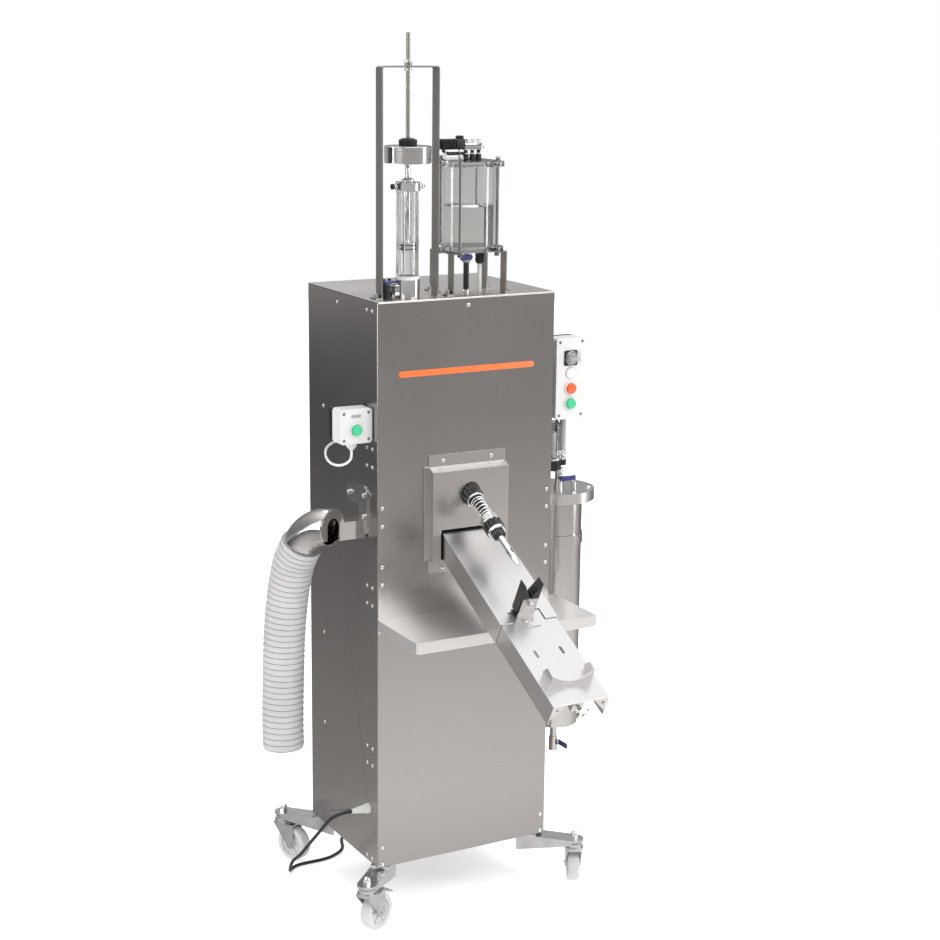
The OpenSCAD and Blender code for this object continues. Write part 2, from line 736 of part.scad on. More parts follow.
module dosing_piston() {
    color(bright) dosing() {
        translate([0, 0, disc_z]) cylinder(d = disc_d, h = disc_h);
        translate([0, 0, disc_z - 150]) cylinder(d = piston_rod, h = 150);
        translate([0, 0, disc_z - 166]) cylinder(d = piston_d, h = 16);
    }
}
tie_d = 3;
tie_r = glass_d / 2 + 1 + tie_d / 2;
dose_base_d = glass_d + 10;
module dosing_frame() {
    color(bright) dosing() {
        // base with the outlet block
        difference() {
            union() {
                cylinder(d = dose_base_d, h = glass_z);
                translate([-32, -9, 6]) cube([12, 18, 20]);
            }
            translate([0, 0, glass_z - 4]) cylinder(d = glass_d + 2 * run_gap, h = 5);
            translate([0, 0, 8]) cylinder(d = 10, h = glass_z);
        }
        // cap with gland and air screws
        translate([0, 0, glass_z - 4 + glass_len]) difference() {
            union() {
                translate([0, 0, -5]) cylinder(d = dose_base_d, h = 5 + cap_h - 6);
                translate([0, 0, cap_h - 6]) cylinder(d = 24, h = 6);
                for (s = [-1, 1]) translate([s * 21, 0, 3]) rotate([0, s * 90, 0]) {
                    cylinder(r = 3, h = 9);
                    translate([0, 0, 9]) cylinder(r = 5, h = 5);
                }
            }
            translate([0, 0, -6]) cylinder(d = glass_d + 2 * run_gap, h = 6);
            translate([0, 0, -7]) cylinder(d = piston_rod + 2 * run_gap, h = cap_h + 14);
        }
        // tie rods
        for (a = [45:90:315]) rotate([0, 0, a]) translate([tie_r, 0, glass_z - 2])
            cylinder(d = tie_d, h = glass_len - 4);
        // valve body and black elbow of the inlet
        translate([-44, 0, 16]) rotate([0, 90, 0]) cylinder(r = 6, h = 13);
        translate([-46, 0, 0]) cylinder(r = 8, h = 27);
    }
    color(dark) dosing() for (p = [[-38, 26], [-24, 30]]) translate([p[0], p[1], 0]) {
        cylinder(r = 6, h = 20);
        translate([0, 0, 20]) cylinder(r = 4, h = 14);
    }
}
module dosing_lever() {
    color(blue) dosing() translate([-46, 0, 27 + air]) {
        cylinder(r = 6, h = 6);
        translate([0, -5, 2]) cube([20, 10, 4]);
    }
}
module dosing_glass() {
    color(clear) dosing(glass_z - 4) ring(glass_d / 2, glass_d / 2 - glass_wall, glass_len);
}

// ---- reservoir ----
plate_t = 10;
res_rod = 41;
res_rod_d = 6;
leg_x = 50;
leg_w = 20;
leg_foot = 15;
res_rail = 96;
leg_y = (res_rail - leg_w) / 2;
module reservoir(z = 0) {
    machine() translate([res_x, res_y, cab_h + z]) children();
}
module reservoir_stand() {
    color(steel) reservoir() {
        for (s = [-1, 1]) {
            // rail under the plates and its two legs
            translate([s * leg_x - 10, -res_rail / 2, stand_h - 3]) cube([20, res_rail, 3]);
            for (y = [-1, 1]) {
                translate([s * (leg_x + 8.5) - 1.5, y * leg_y - leg_w / 2, 0])
                    cube([3, leg_w, stand_h - 3]);
                mirror([s > 0 ? 0 : 1, 0, 0]) translate([leg_x + 7, y * leg_y - leg_w / 2, 0])
                    cube([leg_foot, leg_w, 3]);
                translate([s * (leg_x + 8 + leg_foot / 2), y * leg_y, 3]) acorn_nut(10, 9);
            }
        }
        // tie rods with acorn nuts on top
        for (x = [-1, 1], y = [-1, 1]) translate([x * res_rod, y * res_rod, 0]) {
            translate([0, 0, stand_h - 9]) cylinder(d = 11, h = 6, $fn = 6);
            translate([0, 0, stand_h - 3]) cylinder(d = res_rod_d, h = 3 + 2 * plate_t + res_len);
            translate([0, 0, stand_h + 2 * plate_t + res_len]) acorn_nut(11, 10);
        }
    }
}
module res_plate_shape() {
    difference() {
        rrect(res_plate, res_plate, 18);
        for (x = [-1, 1], y = [-1, 1]) translate([x * res_rod, y * res_rod])
            circle(d = res_rod_d + 2 * run_gap);
    }
}
module reservoir_plates() {
    color(clear) reservoir(stand_h) {
        difference() {
            linear_extrude(plate_t) res_plate_shape();
            translate([0, 0, plate_t - 3]) ring(res_d / 2 + run_gap, res_d / 2 - 5, 4);
        }
        translate([0, 0, plate_t + res_len]) difference() {
            linear_extrude(plate_t) res_plate_shape();
            translate([0, 0, -1]) ring(res_d / 2 + run_gap, res_d / 2 - 5, 4);
        }
    }
}
module reservoir_tube() {
    color(clear) reservoir(stand_h + plate_t - 3) difference() {
        cylinder(d = res_d, h = res_len + 6);
        translate([0, 0, -1]) cylinder(d = res_d - 8, h = res_len + 8);
    }
}
top_fit = stand_h + 2 * plate_t + res_len;
module reservoir_fittings() {
    color(dark) reservoir() {
        // three push-in fittings on the top plate, under a manifold
        for (x = [-12, 2, 16]) translate([x, -8, top_fit]) {
            cylinder(d = 12, h = 12);
            translate([0, 0, 12]) cylinder(d = 9, h = 8);
        }
        translate([-18, -15, top_fit + 20]) cube([40, 14, 14]);
        translate([-26, -8, top_fit + 34]) cylinder(d = 16, h = 14);
        translate([-26, -8, top_fit]) cylinder(d = 6, h = 34);
        // control valve beside the manifold
        translate([-66, -18, top_fit + 22]) cube([48, 20, 20]);
        for (z = [14, 4]) translate([-60, -8, top_fit + z]) rotate([0, 90, 0]) cylinder(d = 7, h = 46);
        // hose connectors under the bottom plate
        translate([18, -14, stand_h - 26]) cylinder(d = 18, h = 20);
        translate([18, -14, stand_h - 6]) cylinder(d = 12, h = 6);
        translate([18, -14, 0]) cylinder(d = 9, h = stand_h - 26);
        translate([-12, -14, stand_h - 22]) cylinder(d = 18, h = 22);
        translate([-12, -14, 0]) cylinder(d = 12, h = stand_h - 22);
    }
}
module reservoir_lever() {
    color(blue) reservoir() translate([-12, -14 - 9 - air, stand_h - 11]) rotate([90, 0, 0]) {
        cylinder(r = 6, h = 6);
        translate([-20, -5, 2]) cube([20, 10, 4]);
    }
}

// ---- control boxes ----
// the left box has one button, the right box has a switch and two buttons
lbox = [-36, 20, 911];
rbox = [cab_w + 51, 15, 968];
base_depth = 18;
cover_depth = 35;
module box_base(h) {
    translate([0, cover_depth + base_depth, 0]) rotate([90, 0, 0]) linear_extrude(base_depth)
        rrect(box_w - 2, h - 2, 5);
}
module box_cover(h, holes) {
    translate([0, cover_depth, 0]) rotate([90, 0, 0]) difference() {
        linear_extrude(cover_depth) rrect(box_w, h, 7);
        translate([0, 0, -1]) linear_extrude(cover_depth - 3) rrect(box_w - 5, h - 5, 5);
        for (z = holes) translate([0, z, 0]) cylinder(d = button_d + 2 * run_gap, h = cover_depth + 2);
    }
}
lb_hole = -7;
rb_holes = [42, -20, -51];
module box_bases() {
    color(dark) machine() {
        translate(lbox) box_base(box_w);
        translate(rbox) box_base(box_h);
    }
    color(steel) machine() {
        // angle that carries the left box on the side of the cabinet
        translate([-6, lbox.y + cover_depth + base_depth, lbox.z - 28]) cube([6, 3, 56]);
        translate([lbox.x, lbox.y + cover_depth + base_depth, lbox.z - 28]) cube([-lbox.x, 3, 56]);
        translate([-3, lbox.y + cover_depth + base_depth + 3, lbox.z - 28]) cube([3, 20, 56]);
        // angle that carries the right box
        translate([cab_w, rbox.y + cover_depth + base_depth, rbox.z - 75])
            cube([rbox.x - cab_w, 3, box_h - 10]);
        translate([cab_w, rbox.y + cover_depth + base_depth + 3, rbox.z - 75])
            cube([3, 20, box_h - 10]);
    }
}
module box_covers() {
    color(white) machine() {
        translate(lbox) box_cover(box_w, [lb_hole]);
        translate(rbox) box_cover(box_h, rb_holes);
    }
}
module button(box, z) {
    translate([box.x, box.y, box.z + z]) rotate([90, 0, 0]) {
        translate([0, 0, -26]) cylinder(d = button_d, h = 26 + 6);
        translate([0, 0, 6]) cylinder(d = button_d - 2, h = 2);
    }
}
module start_button() { color([0.1, 0.6, 0.35]) machine() button(lbox, lb_hole); }
module stop_button() { color([0.85, 0.2, 0.1]) machine() button(rbox, rb_holes[1]); }
module run_button() { color([0.1, 0.6, 0.35]) machine() button(rbox, rb_holes[2]); }
module mode_switch() {
    color(dark) machine() translate([rbox.x, rbox.y, rbox.z + rb_holes[0]]) rotate([90, 0, 0]) {
        translate([0, 0, -26]) cylinder(d = button_d, h = 26);
        translate([0, 0, air]) cylinder(d = 29, h = 5);
        translate([0, 0, 0]) cylinder(d = 18, h = 8);
        translate([-13, -4, 8]) cube([26, 8, 10]);
    }
}

// ---- tank on the right side ----
module tank(z = 0) {
    machine() translate([cab_w + tank_x, tank_y, tank_z + z]) children();
}
tank_wall = 2;
lid_t = 22;
pipe_len = 40;
module tank_body() {
    color(steel) tank() {
        difference() {
            union() {
                cylinder(d = tank_d, h = tank_len);
                // drain pipe and valve body
                translate([0, 0, -pipe_len]) cylinder(d = 14, h = pipe_len + 1);
                translate([0, 0, -pipe_len - 27]) cylinder(d = 18, h = 30);
                translate([0, 0, -pipe_len - 14]) rotate([0, 90, 0]) cylinder(d = 10, h = 12);
            }
            translate([0, 0, 3]) cylinder(d = tank_d - 2 * tank_wall, h = tank_len);
            translate([0, 0, -pipe_len - 30]) cylinder(d = 8, h = pipe_len + 40);
        }
        // clamp straps back to the cabinet's side
        for (z = [70, tank_len - 95]) translate([0, 0, z]) difference() {
            union() {
                cylinder(d = tank_d + 5, h = 22);
                translate([-tank_x, -14, 0]) cube([tank_x - tank_d / 2 + 3, 28, 22]);
            }
            translate([0, 0, -1]) cylinder(d = tank_d, h = 24);
        }
    }
}
module tank_lid() {
    color(steel) tank(tank_len) {
        difference() {
            union() {
                cylinder(d = lid_d, h = lid_t);
                translate([0, 0, -6]) cylinder(d = tank_d - 2 * tank_wall - 0.4, h = 6);
            }
            translate([0, 0, -7]) cylinder(d = tank_d - 14, h = 12);
        }
        // lid valve and coupling
        translate([-4, -6, lid_t]) cylinder(d = 20, h = 14);
        translate([-4, -6, lid_t + 14]) cylinder(d = 15, h = 20);
        translate([-4, -6, lid_t + 34]) cylinder(d = 20, h = 8);
        translate([-4, -6 - 14, lid_t + 22]) rotate([-90, 0, 0]) cylinder(d = 11, h = 14);
        translate([26, -18, lid_t]) cylinder(d = 12, h = 12);
        // clamp screws
        for (a = [30:60:330]) rotate([0, 0, a]) translate([lid_d / 2 - 12, 0, lid_t]) dome_head(10, 3);
    }
}
module lid_lever() {
    color(blue) tank(tank_len + lid_t + 22) translate([-4, -20 - air, 0]) rotate([90, 0, 0]) {
        cylinder(r = 6, h = 6);
        translate([0, -5, 2]) cube([30, 10, 4]);
    }
}
module drain_lever() {
    color(blue) tank(-pipe_len - 14) translate([12 + air, 0, 0]) rotate([0, 90, 0]) {
        cylinder(r = 5, h = 6);
        translate([-5, -30, 2]) cube([10, 34, 4]);
    }
}

// air filter with its bowl, and the lines beside it, on the right side
filter_x = cab_w + 26;
filter_y = 40;
filter_z = 775;
module service_lines() {
    color(clear) machine() translate([filter_x, filter_y, filter_z + 26]) cylinder(d = 34, h = 78);
    color(dark) machine() {
        translate([filter_x, filter_y, filter_z]) cylinder(d = 38, h = 26);
        translate([cab_w, filter_y - 8, filter_z + 6]) cube([12, 16, 14]);
        translate([rbox.x - 14, rbox.y + 26, filter_z + 40]) cylinder(d = 6, h = 70);
    }
    color(steel) machine() {
        translate([rbox.x, rbox.y + 26, filter_z + 30]) cylinder(d = 14, h = 80);
        translate([rbox.x, rbox.y + 26, filter_z + 8]) cylinder(d = 17, h = 22);
        translate([rbox.x - 18, rbox.y + 18, filter_z + 34]) cube([18, 14, 6]);
        translate([filter_x, rbox.y + 20, filter_z + 8]) cube([rbox.x - filter_x, 10, 12]);
    }
}

// ---- disgorging collector on the left side ----
arm_h = 36;
arm_d = 32;
disc_r = 35;
module collector() {
    color(steel) machine() {
        // plate on the wall, with its bolts
        translate([-3, 0, 0]) rotate([90, 0, 90]) linear_extrude(3) {
            hull_pair([118, 758, 20], [62, 762, 20]);
            hull_pair([62, 762, 20], [60, 700, 17]);
        }
        for (p = [[118, 758], [38 + 12, 765], [45 + 6, 722]]) translate([-3, p[0], p[1]])
            rotate([0, -90, 0]) acorn_nut(11, 8);
        // square arm out to the disc
        translate([-58, 50, 680]) difference() {
            cube([55, arm_d, arm_h]);
            translate([-1, 2, 2]) cube([57, arm_d - 4, arm_h - 4]);
        }
        // bent pipe with the bottle disc on its front end
        translate([elbow_x, elbow_y, elbow_z]) rotate([0, 0, elbow_yaw]) {
            difference() {
                union() {
                    translate([0, 0, -elbow_r]) rotate([90, 0, 90]) rotate([0, 0, 0])
                        bend(pipe_d / 2);
                    rotate([90, 0, 0]) translate([0, 0, -4]) cylinder(r = disc_r, h = 6);
                }
                translate([0, 0, -elbow_r]) rotate([90, 0, 90]) bend(pipe_d / 2 - 2);
                // arched slot for the bottle's neck
                rotate([90, 0, 0]) translate([0, 0, -5]) linear_extrude(10) {
                    translate([0, 2]) circle(r = 16);
                    translate([-16, -disc_r - 2]) square([32, disc_r + 4]);
                }
                // flat bottom of the disc
                translate([-40, -5, -60]) cube([80, 8, 36]);
            }
        }
    }
}
module hull_pair(a, b) {
    hull() {
        translate([a[0], a[1]]) circle(r = a[2], $fn = hull_fn);
        translate([b[0], b[1]]) circle(r = b[2], $fn = hull_fn);
    }
}
// quarter-like bend in the XY plane, starting along +X at the top of its arc
module bend(r) {
    rotate([0, 0, 90 - elbow_turn]) rotate_extrude(angle = elbow_turn) translate([elbow_r, 0]) circle(r);
}

// corrugated hose from the collector's low end, open at the bottom
hose_path = [
    [-109, 117, 664.5], [-113, 126, 647], [-118, 136, 624], [-122, 144, 592], [-125, 150, 558],
    [-129, 154, 510], [-132, 156, 460], [-134, 156, 410], [-136, 155, 360], [-138, 153, 310],
    [-139, 151, 262], [-139, 150, 236],
];
module spiral_hose() {
    color(white) machine() swept(hose_path, hose_d / 2, 12);
}

// ---- glands and cables ----
module gland(len) {
    cylinder(r = 11, h = 8, $fn = 6);
    translate([0, 0, 8]) cylinder(r1 = 10, r2 = 5, h = len - 8);
}
gland_len = 40;
module cable_glands() {
    color(white) machine() {
        translate([0, gland_y, gland_z]) rotate([0, -90, 0]) gland(gland_len);
        translate([lbox.x, lbox.y + 22, lbox.z - box_w / 2]) rotate([180, 0, 0]) gland(16);
    }
}
box_cable_path = [
    [-36, 42, 861], [-36, 42, 850], [-37, 44, 842], [-42, 50, 834], [-50, 58, 829], [-58, 68, 828],
    [-65, 78, 832], [-68, 88, 840], [-66, 96, 849], [-60, 101, 857], [-50, 103, 863],
    [-38, 104, 867], [-26, 104, 869], [-14, 104, 870], [0, 104, 870],
];
module box_cable() {
    color(white) machine() swept(box_cable_path, 2.5, 8);
}
mains_r = 3.5;
mains_path = [
    [-40.3, 38, 117], [-52, 38, 117], [-63.5, 39.6, 115.4], [-73.2, 44.2, 110.8], [-79.7, 51, 104],
    [-82, 60, 95], [-82.5, 75, 81], [-83, 92, 65], [-83.5, 109, 49], [-84, 126, 33],
    [-84.5, 143, 17], [-85, 160, 1], [-85.2, 177, -15], [-85.2, 194, -30], [-85, 211, -43],
    [-85, 228, -56], [-84, 243, -70], [-81, 256, -85], [-77, 268, -96], [-71, 280, -103],
    [-62, 290, -104.5], [-50, 297, -104.5], [-34, 300, -104.5], [-14, 300, -104.5],
    [8, 300, -104.5], [30, 303, -104.5], [51, 312, -104.5], [69, 325, -104.5],
    [81, 342, -104.5], [88, 361, -104.5], [96, 379, -104.5], [109, 393, -104.5],
    [127, 402, -104.5], [149, 405, -104.5], [174.6, 405, -104.5],
];
module mains_cable() {
    color(dark) machine() swept(smooth(mains_path, 2), mains_r, 8);
}
coil_c = [200, 450];
coil_r = 38;
coil_band = 10.5;
coil_h = 15;
module mains_coil() {
    color(dark) machine() translate([coil_c.x, coil_c.y, -base_h]) rotate_extrude()
        translate([coil_r - coil_band, 0]) square([2 * coil_band, coil_h]);
}
plug_len = 40;
plug_w = 36;
plug_h = 26;
plug_stub = 14;
// the plug lies on the tangent of the coil's outermost turn
plug_x = 27.6;
plug_y = coil_r + 7;
module mains_plug() {
    color(dark) machine() translate([coil_c.x + plug_x, coil_c.y - plug_y, -base_h]) {
        // strain relief, body and two pins
        translate([0, 0, plug_h / 2]) rotate([0, 90, 0]) cylinder(d = 10, h = plug_stub);
        translate([plug_stub, -plug_w / 2, 0]) cube([plug_len, plug_w, plug_h]);
        for (y = [-1, 1]) translate([plug_stub + plug_len, y * 9.5, plug_h / 2]) rotate([0, 90, 0])
            cylinder(d = 4.8, h = 19);
    }
}

cabinet_shell();
front_panel();
top_panel();
base_plate();
fasteners();
caster_arms();
fork_fl();
fork_fr();
fork_rl();
fork_rr();
wheel_fl();
wheel_fr();
wheel_rl();
wheel_rr();
brake_pedal_fl();
brake_pedal_fr();
nozzle_cover();
shelf();
rail_frame();
tray_cylinder();
carriage();
carriage_rod();
tray_extension();
neck_rest();
rest_brackets();
thumb_screw();
nozzle_housing();
nozzle_tube();
nozzle_spring();
nozzle_bush();
yoke();
stroke_rod();
adjuster_knob();
dosing_piston();
dosing_frame();
dosing_glass();
dosing_lever();
reservoir_stand();
reservoir_plates();
reservoir_tube();
reservoir_fittings();
reservoir_lever();
box_bases();
box_covers();
start_button();
stop_button();
run_button();
mode_switch();
tank_body();
tank_lid();
lid_lever();
drain_lever();
service_lines();
collector();
spiral_hose();
cable_glands();
box_cable();
mains_cable();
mains_coil();
mains_plug();
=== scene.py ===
import math

import bmesh
import bpy
from mathutils import Matrix, Vector


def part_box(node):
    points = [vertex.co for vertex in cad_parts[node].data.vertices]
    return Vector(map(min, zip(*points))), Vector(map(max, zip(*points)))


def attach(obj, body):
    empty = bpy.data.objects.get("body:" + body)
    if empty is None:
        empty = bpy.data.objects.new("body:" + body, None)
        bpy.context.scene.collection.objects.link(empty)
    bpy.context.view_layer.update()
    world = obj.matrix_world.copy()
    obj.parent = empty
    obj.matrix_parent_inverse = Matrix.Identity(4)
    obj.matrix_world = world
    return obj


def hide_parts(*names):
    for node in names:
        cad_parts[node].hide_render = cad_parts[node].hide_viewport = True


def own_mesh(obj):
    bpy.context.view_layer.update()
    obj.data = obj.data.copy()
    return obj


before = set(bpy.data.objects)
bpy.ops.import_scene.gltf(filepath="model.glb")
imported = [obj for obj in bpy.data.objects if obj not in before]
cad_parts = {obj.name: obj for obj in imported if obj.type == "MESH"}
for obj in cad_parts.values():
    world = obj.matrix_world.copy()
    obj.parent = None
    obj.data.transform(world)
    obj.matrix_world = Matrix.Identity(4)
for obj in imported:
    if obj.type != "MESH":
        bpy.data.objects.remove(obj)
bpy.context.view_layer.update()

# ---------------------------------------------------------------------------
# Places. Lengths are in millimetres from the cabinet's front left bottom
# corner: x to the right, y to the back, z up. at() turns them into the shared
# frame, in metres.
# ---------------------------------------------------------------------------
MM = 0.001
panel_low, panel_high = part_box("front_panel")
CORNER = Vector(panel_low)
CAB_W = (panel_high.x - panel_low.x) / MM
CAB_H = (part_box("top_panel")[1].z - panel_low.z) / MM
BASE_H = CORNER.z / MM
TILT = math.radians(27.5)
COVER_D = 20
TRAY_Z = 688


def at(x, y, z):
    return CORNER + Vector((x, y, z)) * MM


def rotation(turn):
    """Turn by x, y, z degrees, in that order."""
    rx, ry, rz = (math.radians(a) for a in turn)
    return Matrix.Rotation(rz, 4, "Z") @ Matrix.Rotation(ry, 4, "Y") @ Matrix.Rotation(rx, 4, "X")


def placed(x, y, z, turn=(0, 0, 0)):
    """Matrix that puts a form made in millimetres at a place on the machine, turned by x, y, z degrees."""
    return Matrix.Translation(at(x, y, z)) @ rotation(turn) @ Matrix.Scale(MM, 4)


def on_slope(x, s, h, turn=(0, 0, 0)):
    """The same on the bottle carriage: s runs down the slope from the cover, h square to the tray."""
    origin = Matrix.Translation(at(CAB_W / 2, -COVER_D, TRAY_Z)) @ Matrix.Rotation(TILT, 4, "X")
    return origin @ Matrix.Scale(MM, 4) @ Matrix.Translation(Vector((x, -s, h))) @ rotation(turn)


# turns for a form whose own +Z is to point down the slope, to the front, to a side or down
DOWN_SLOPE = (90, 0, 0)
TO_FRONT = (90, 0, 0)
TO_LEFT = (0, -90, 0)
TO_RIGHT = (0, 90, 0)
TO_GROUND = (180, 0, 0)


# ---------------------------------------------------------------------------
# Materials
# ---------------------------------------------------------------------------
def shader(name, color, metallic=0.0, roughness=0.5, **sockets):
    mat = bpy.data.materials.new(name)
    mat.use_nodes = True
    bsdf = mat.node_tree.nodes["Principled BSDF"]
    bsdf.inputs["Base Color"].default_value = (*color, 1)
    bsdf.inputs["Metallic"].default_value = metallic
    bsdf.inputs["Roughness"].default_value = roughness
    for key, value in sockets.items():
        bsdf.inputs[key.replace("_", " ")].default_value = value
    return mat


def node(owner, kind, **values):
    """New shader node of a material or a world."""
    made = owner.node_tree.nodes.new(kind)
    for key, value in values.items():
        setattr(made, key, value)
    return made


def link(owner, a, out, b, into):
    owner.node_tree.links.new(a.outputs[out], b.inputs[into])


def texture(mat, scale, noise_scale, detail):
    """Noise in the shared frame, stretched along the axes by scale."""
    coords = node(mat, "ShaderNodeTexCoord")
    mapping = node(mat, "ShaderNodeMapping")
    mapping.inputs["Scale"].default_value = scale
    noise = node(mat, "ShaderNodeTexNoise")
    noise.inputs["Scale"].default_value = noise_scale
    noise.inputs["Detail"].default_value = detail
    noise.inputs["Roughness"].default_value = 0.55
    link(mat, coords, "Object", mapping, "Vector")
    link(mat, mapping, "Vector", noise, "Vector")
    return noise


def map_range(owner, low_in, high_in, low_out, high_out):
    ramp = node(owner, "ShaderNodeMapRange")
    ramp.inputs["From Min"].default_value = low_in
    ramp.inputs["From Max"].default_value = high_in
    ramp.inputs["To Min"].default_value = low_out
    ramp.inputs["To Max"].default_value = high_out
    return ramp


def gradient(owner, *stops):
    """Colour ramp through (position, colour) stops, the lowest first."""
    ramp = node(owner, "ShaderNodeValToRGB")
    steps = ramp.color_ramp.elements
    for step, (position, color) in zip(steps, (stops[0], stops[-1])):
        step.position = position
        step.color = (*color, 1)
    for position, color in stops[1:-1]:
        steps.new(position).color = (*color, 1)
    return ramp


def warm_greys(red, green, blue, *stops):
    """Stops for gradient from (position, level), with each level tinted by the three shares."""
    return [(position, (level * red, level * green, level * blue)) for position, level in stops]


def spread(mat, noise, low, high):
    """Value from low to high over the middle of a noise's range."""
    ramp = map_range(mat, 0.3, 0.7, low, high)
    link(mat, noise, "Fac", ramp, "Value")
    return ramp


def tone(mat, noise, dark, light, low=0.3, high=0.7):
    ramp = gradient(mat, (low, dark), (high, light))
    link(mat, noise, "Fac", ramp, "Fac")
    return ramp


def bump(mat, noise, strength, distance):
    made = node(mat, "ShaderNodeBump")
    made.inputs["Strength"].default_value = strength
    made.inputs["Distance"].default_value = distance
    link(mat, noise, "Fac", made, "Height")
    link(mat, made, "Normal", mat.node_tree.nodes["Principled BSDF"], "Normal")


def metal(name, dark, light, rough, grain=(1, 1, 1), grain_scale=10, smudge=0.03):
    """Metal with a grain along the axis of the smallest scale, smudges from hands and a slight wave."""
    mat = shader(name, light, metallic=1.0, roughness=rough)
    bsdf = mat.node_tree.nodes["Principled BSDF"]
    fine = texture(mat, grain, grain_scale, 2.0)
    large = texture(mat, (1, 1, 0.6), 5.0, 3.0)
    link(mat, tone(mat, fine, dark, light, 0.2, 0.8), "Color", bsdf, "Base Color")
    both = node(mat, "ShaderNodeMath", operation="ADD")
    link(mat, spread(mat, fine, rough - 0.005, rough + 0.005), "Result", both, 0)
    link(mat, spread(mat, large, -smudge, smudge), "Result", both, 1)
    link(mat, both, "Value", bsdf, "Roughness")
    bump(mat, large, 0.05, 0.0003)
    return mat


def moulded(name, color, rough=0.45, speckle=900, vary=0.06):
    """Moulded plastic or rubber with a fine spark-eroded grain and slight grime."""
    mat = shader(name, color, roughness=rough)
    bsdf = mat.node_tree.nodes["Principled BSDF"]
    fine = texture(mat, (1, 1, 1), speckle, 2.0)
    large = texture(mat, (1, 1, 1), 18.0, 4.0)
    dim = tuple(c * (1 - vary) for c in color)
    link(mat, tone(mat, large, dim, color), "Color", bsdf, "Base Color")
    link(mat, spread(mat, large, rough - 0.06, rough + 0.08), "Result", bsdf, "Roughness")
    bump(mat, fine, 0.15, 0.0002)
    return mat


def clear(name, color, ior, rough=0.02):
    """Clear plastic, glass or liquid with faint smears."""
    mat = shader(name, color, roughness=rough, IOR=ior)
    bsdf = mat.node_tree.nodes["Principled BSDF"]
    bsdf.inputs["Transmission Weight"].default_value = 1.0
    smears = texture(mat, (1, 1, 0.4), 30.0, 3.0)
    link(mat, spread(mat, smears, rough, rough + 0.05), "Result", bsdf, "Roughness")
    return mat


# grain drawn upwards or in the two directions of a sheet, and the rings of a lathe
UP_GRAIN = (60, 60, 0.8)
TOP_GRAIN = (0.8, 60, 60)
ALONG_GRAIN = (60, 0.8, 0.8)
LATHE_GRAIN = (1, 1, 60)
NO_GRAIN = (1, 1, 1)
STEEL = metal("sheet_steel", (0.418, 0.403, 0.394), (0.428, 0.413, 0.404), 0.27, UP_GRAIN, smudge=0.02)
# Top panel steel: a lighter copy of the sheet steel, with the grain turned across; the extra lightness is
# painted light falling on the top from above.
LIT_TOP_STEEL = metal("sheet_steel_top_lit", (0.56, 0.545, 0.535), (0.60, 0.585, 0.575), 0.32, TOP_GRAIN,
                  smudge=0.02)
TRAY = metal("tray_steel", (0.62, 0.61, 0.605), (0.645, 0.635, 0.63), 0.31, ALONG_GRAIN)
# Shelf steel: a much lighter copy of the tray steel; the extra lightness is painted light falling on the
# shelf from above.
LIT_SHELF_STEEL = metal("shelf_steel_lit", (0.88, 0.87, 0.865), (0.90, 0.89, 0.885), 0.42, ALONG_GRAIN)
COVER = metal("cover_steel", (0.612, 0.602, 0.592), (0.622, 0.612, 0.602), 0.27, UP_GRAIN, smudge=0.02)
POLISHED = metal("polished_steel", (0.60, 0.59, 0.58), (0.68, 0.67, 0.66), 0.12, NO_GRAIN, 60)
TANK = metal("tank_steel", (0.55, 0.54, 0.53), (0.60, 0.59, 0.58), 0.18, UP_GRAIN)
LID = metal("lid_steel", (0.72, 0.71, 0.70), (0.78, 0.77, 0.76), 0.24, LATHE_GRAIN)
DISC = metal("turned_disc", (0.62, 0.61, 0.60), (0.80, 0.79, 0.78), 0.17, LATHE_GRAIN)
BRIGHT = metal("turned_steel", (0.78, 0.78, 0.77), (0.88, 0.88, 0.87), 0.13, LATHE_GRAIN)
ZINC = metal("zinc_plate", (0.50, 0.51, 0.52), (0.66, 0.66, 0.67), 0.26, NO_GRAIN, 40, 0.06)
BAR = metal("flat_bar", (0.33, 0.32, 0.31), (0.38, 0.37, 0.36), 0.30, UP_GRAIN)
ALLOY = metal("dark_alloy", (0.05, 0.05, 0.052), (0.11, 0.11, 0.112), 0.30, NO_GRAIN, 90, 0.05)
THREAD = metal("thread_steel", (0.30, 0.30, 0.29), (0.50, 0.49, 0.48), 0.34, (1, 1, 300), 9)
BLACK = moulded("black_plastic", (0.012, 0.012, 0.013), 0.42)
RUBBER = moulded("black_rubber", (0.018, 0.018, 0.019), 0.62, 600)
WHITE = moulded("white_plastic", (0.70, 0.70, 0.69), 0.36)
WHEEL = moulded("wheel_plastic", (0.64, 0.64, 0.63), 0.42, 500, vary=0.12)
GREY = moulded("grey_plastic", (0.34, 0.35, 0.35), 0.45)
BLUE = moulded("blue_plastic", (0.045, 0.05, 0.20), 0.38)
GREEN = moulded("green_button", (0.06, 0.55, 0.27), 0.30)
RED = moulded("red_button", (0.90, 0.12, 0.035), 0.30)
HOSE = moulded("hose_plastic", (0.56, 0.56, 0.55), 0.34, 300, vary=0.10)
RIB = moulded("hose_rib", (0.22, 0.22, 0.215), 0.30, 300)
CABLE = moulded("cable_rubber", (0.014, 0.014, 0.015), 0.50, 700)
WHITE_CABLE = moulded("cable_white", (0.82, 0.82, 0.80), 0.42, 700)
GLASS = clear("glass_tube", (0.985, 0.99, 0.99), 1.47)
ACRYLIC = clear("acrylic", (0.97, 0.975, 0.975), 1.49)
LIQUID = clear("syrup", (0.86, 0.85, 0.84), 1.34, rough=0.0)
ORANGE = moulded("stripe_paint", (0.90, 0.16, 0.03), 0.40)


# ---------------------------------------------------------------------------
# Forms in millimetres, as bmesh, which Piece collects into one mesh
# ---------------------------------------------------------------------------
def angles(count):
    return [2 * math.pi * k / count for k in range(count)]


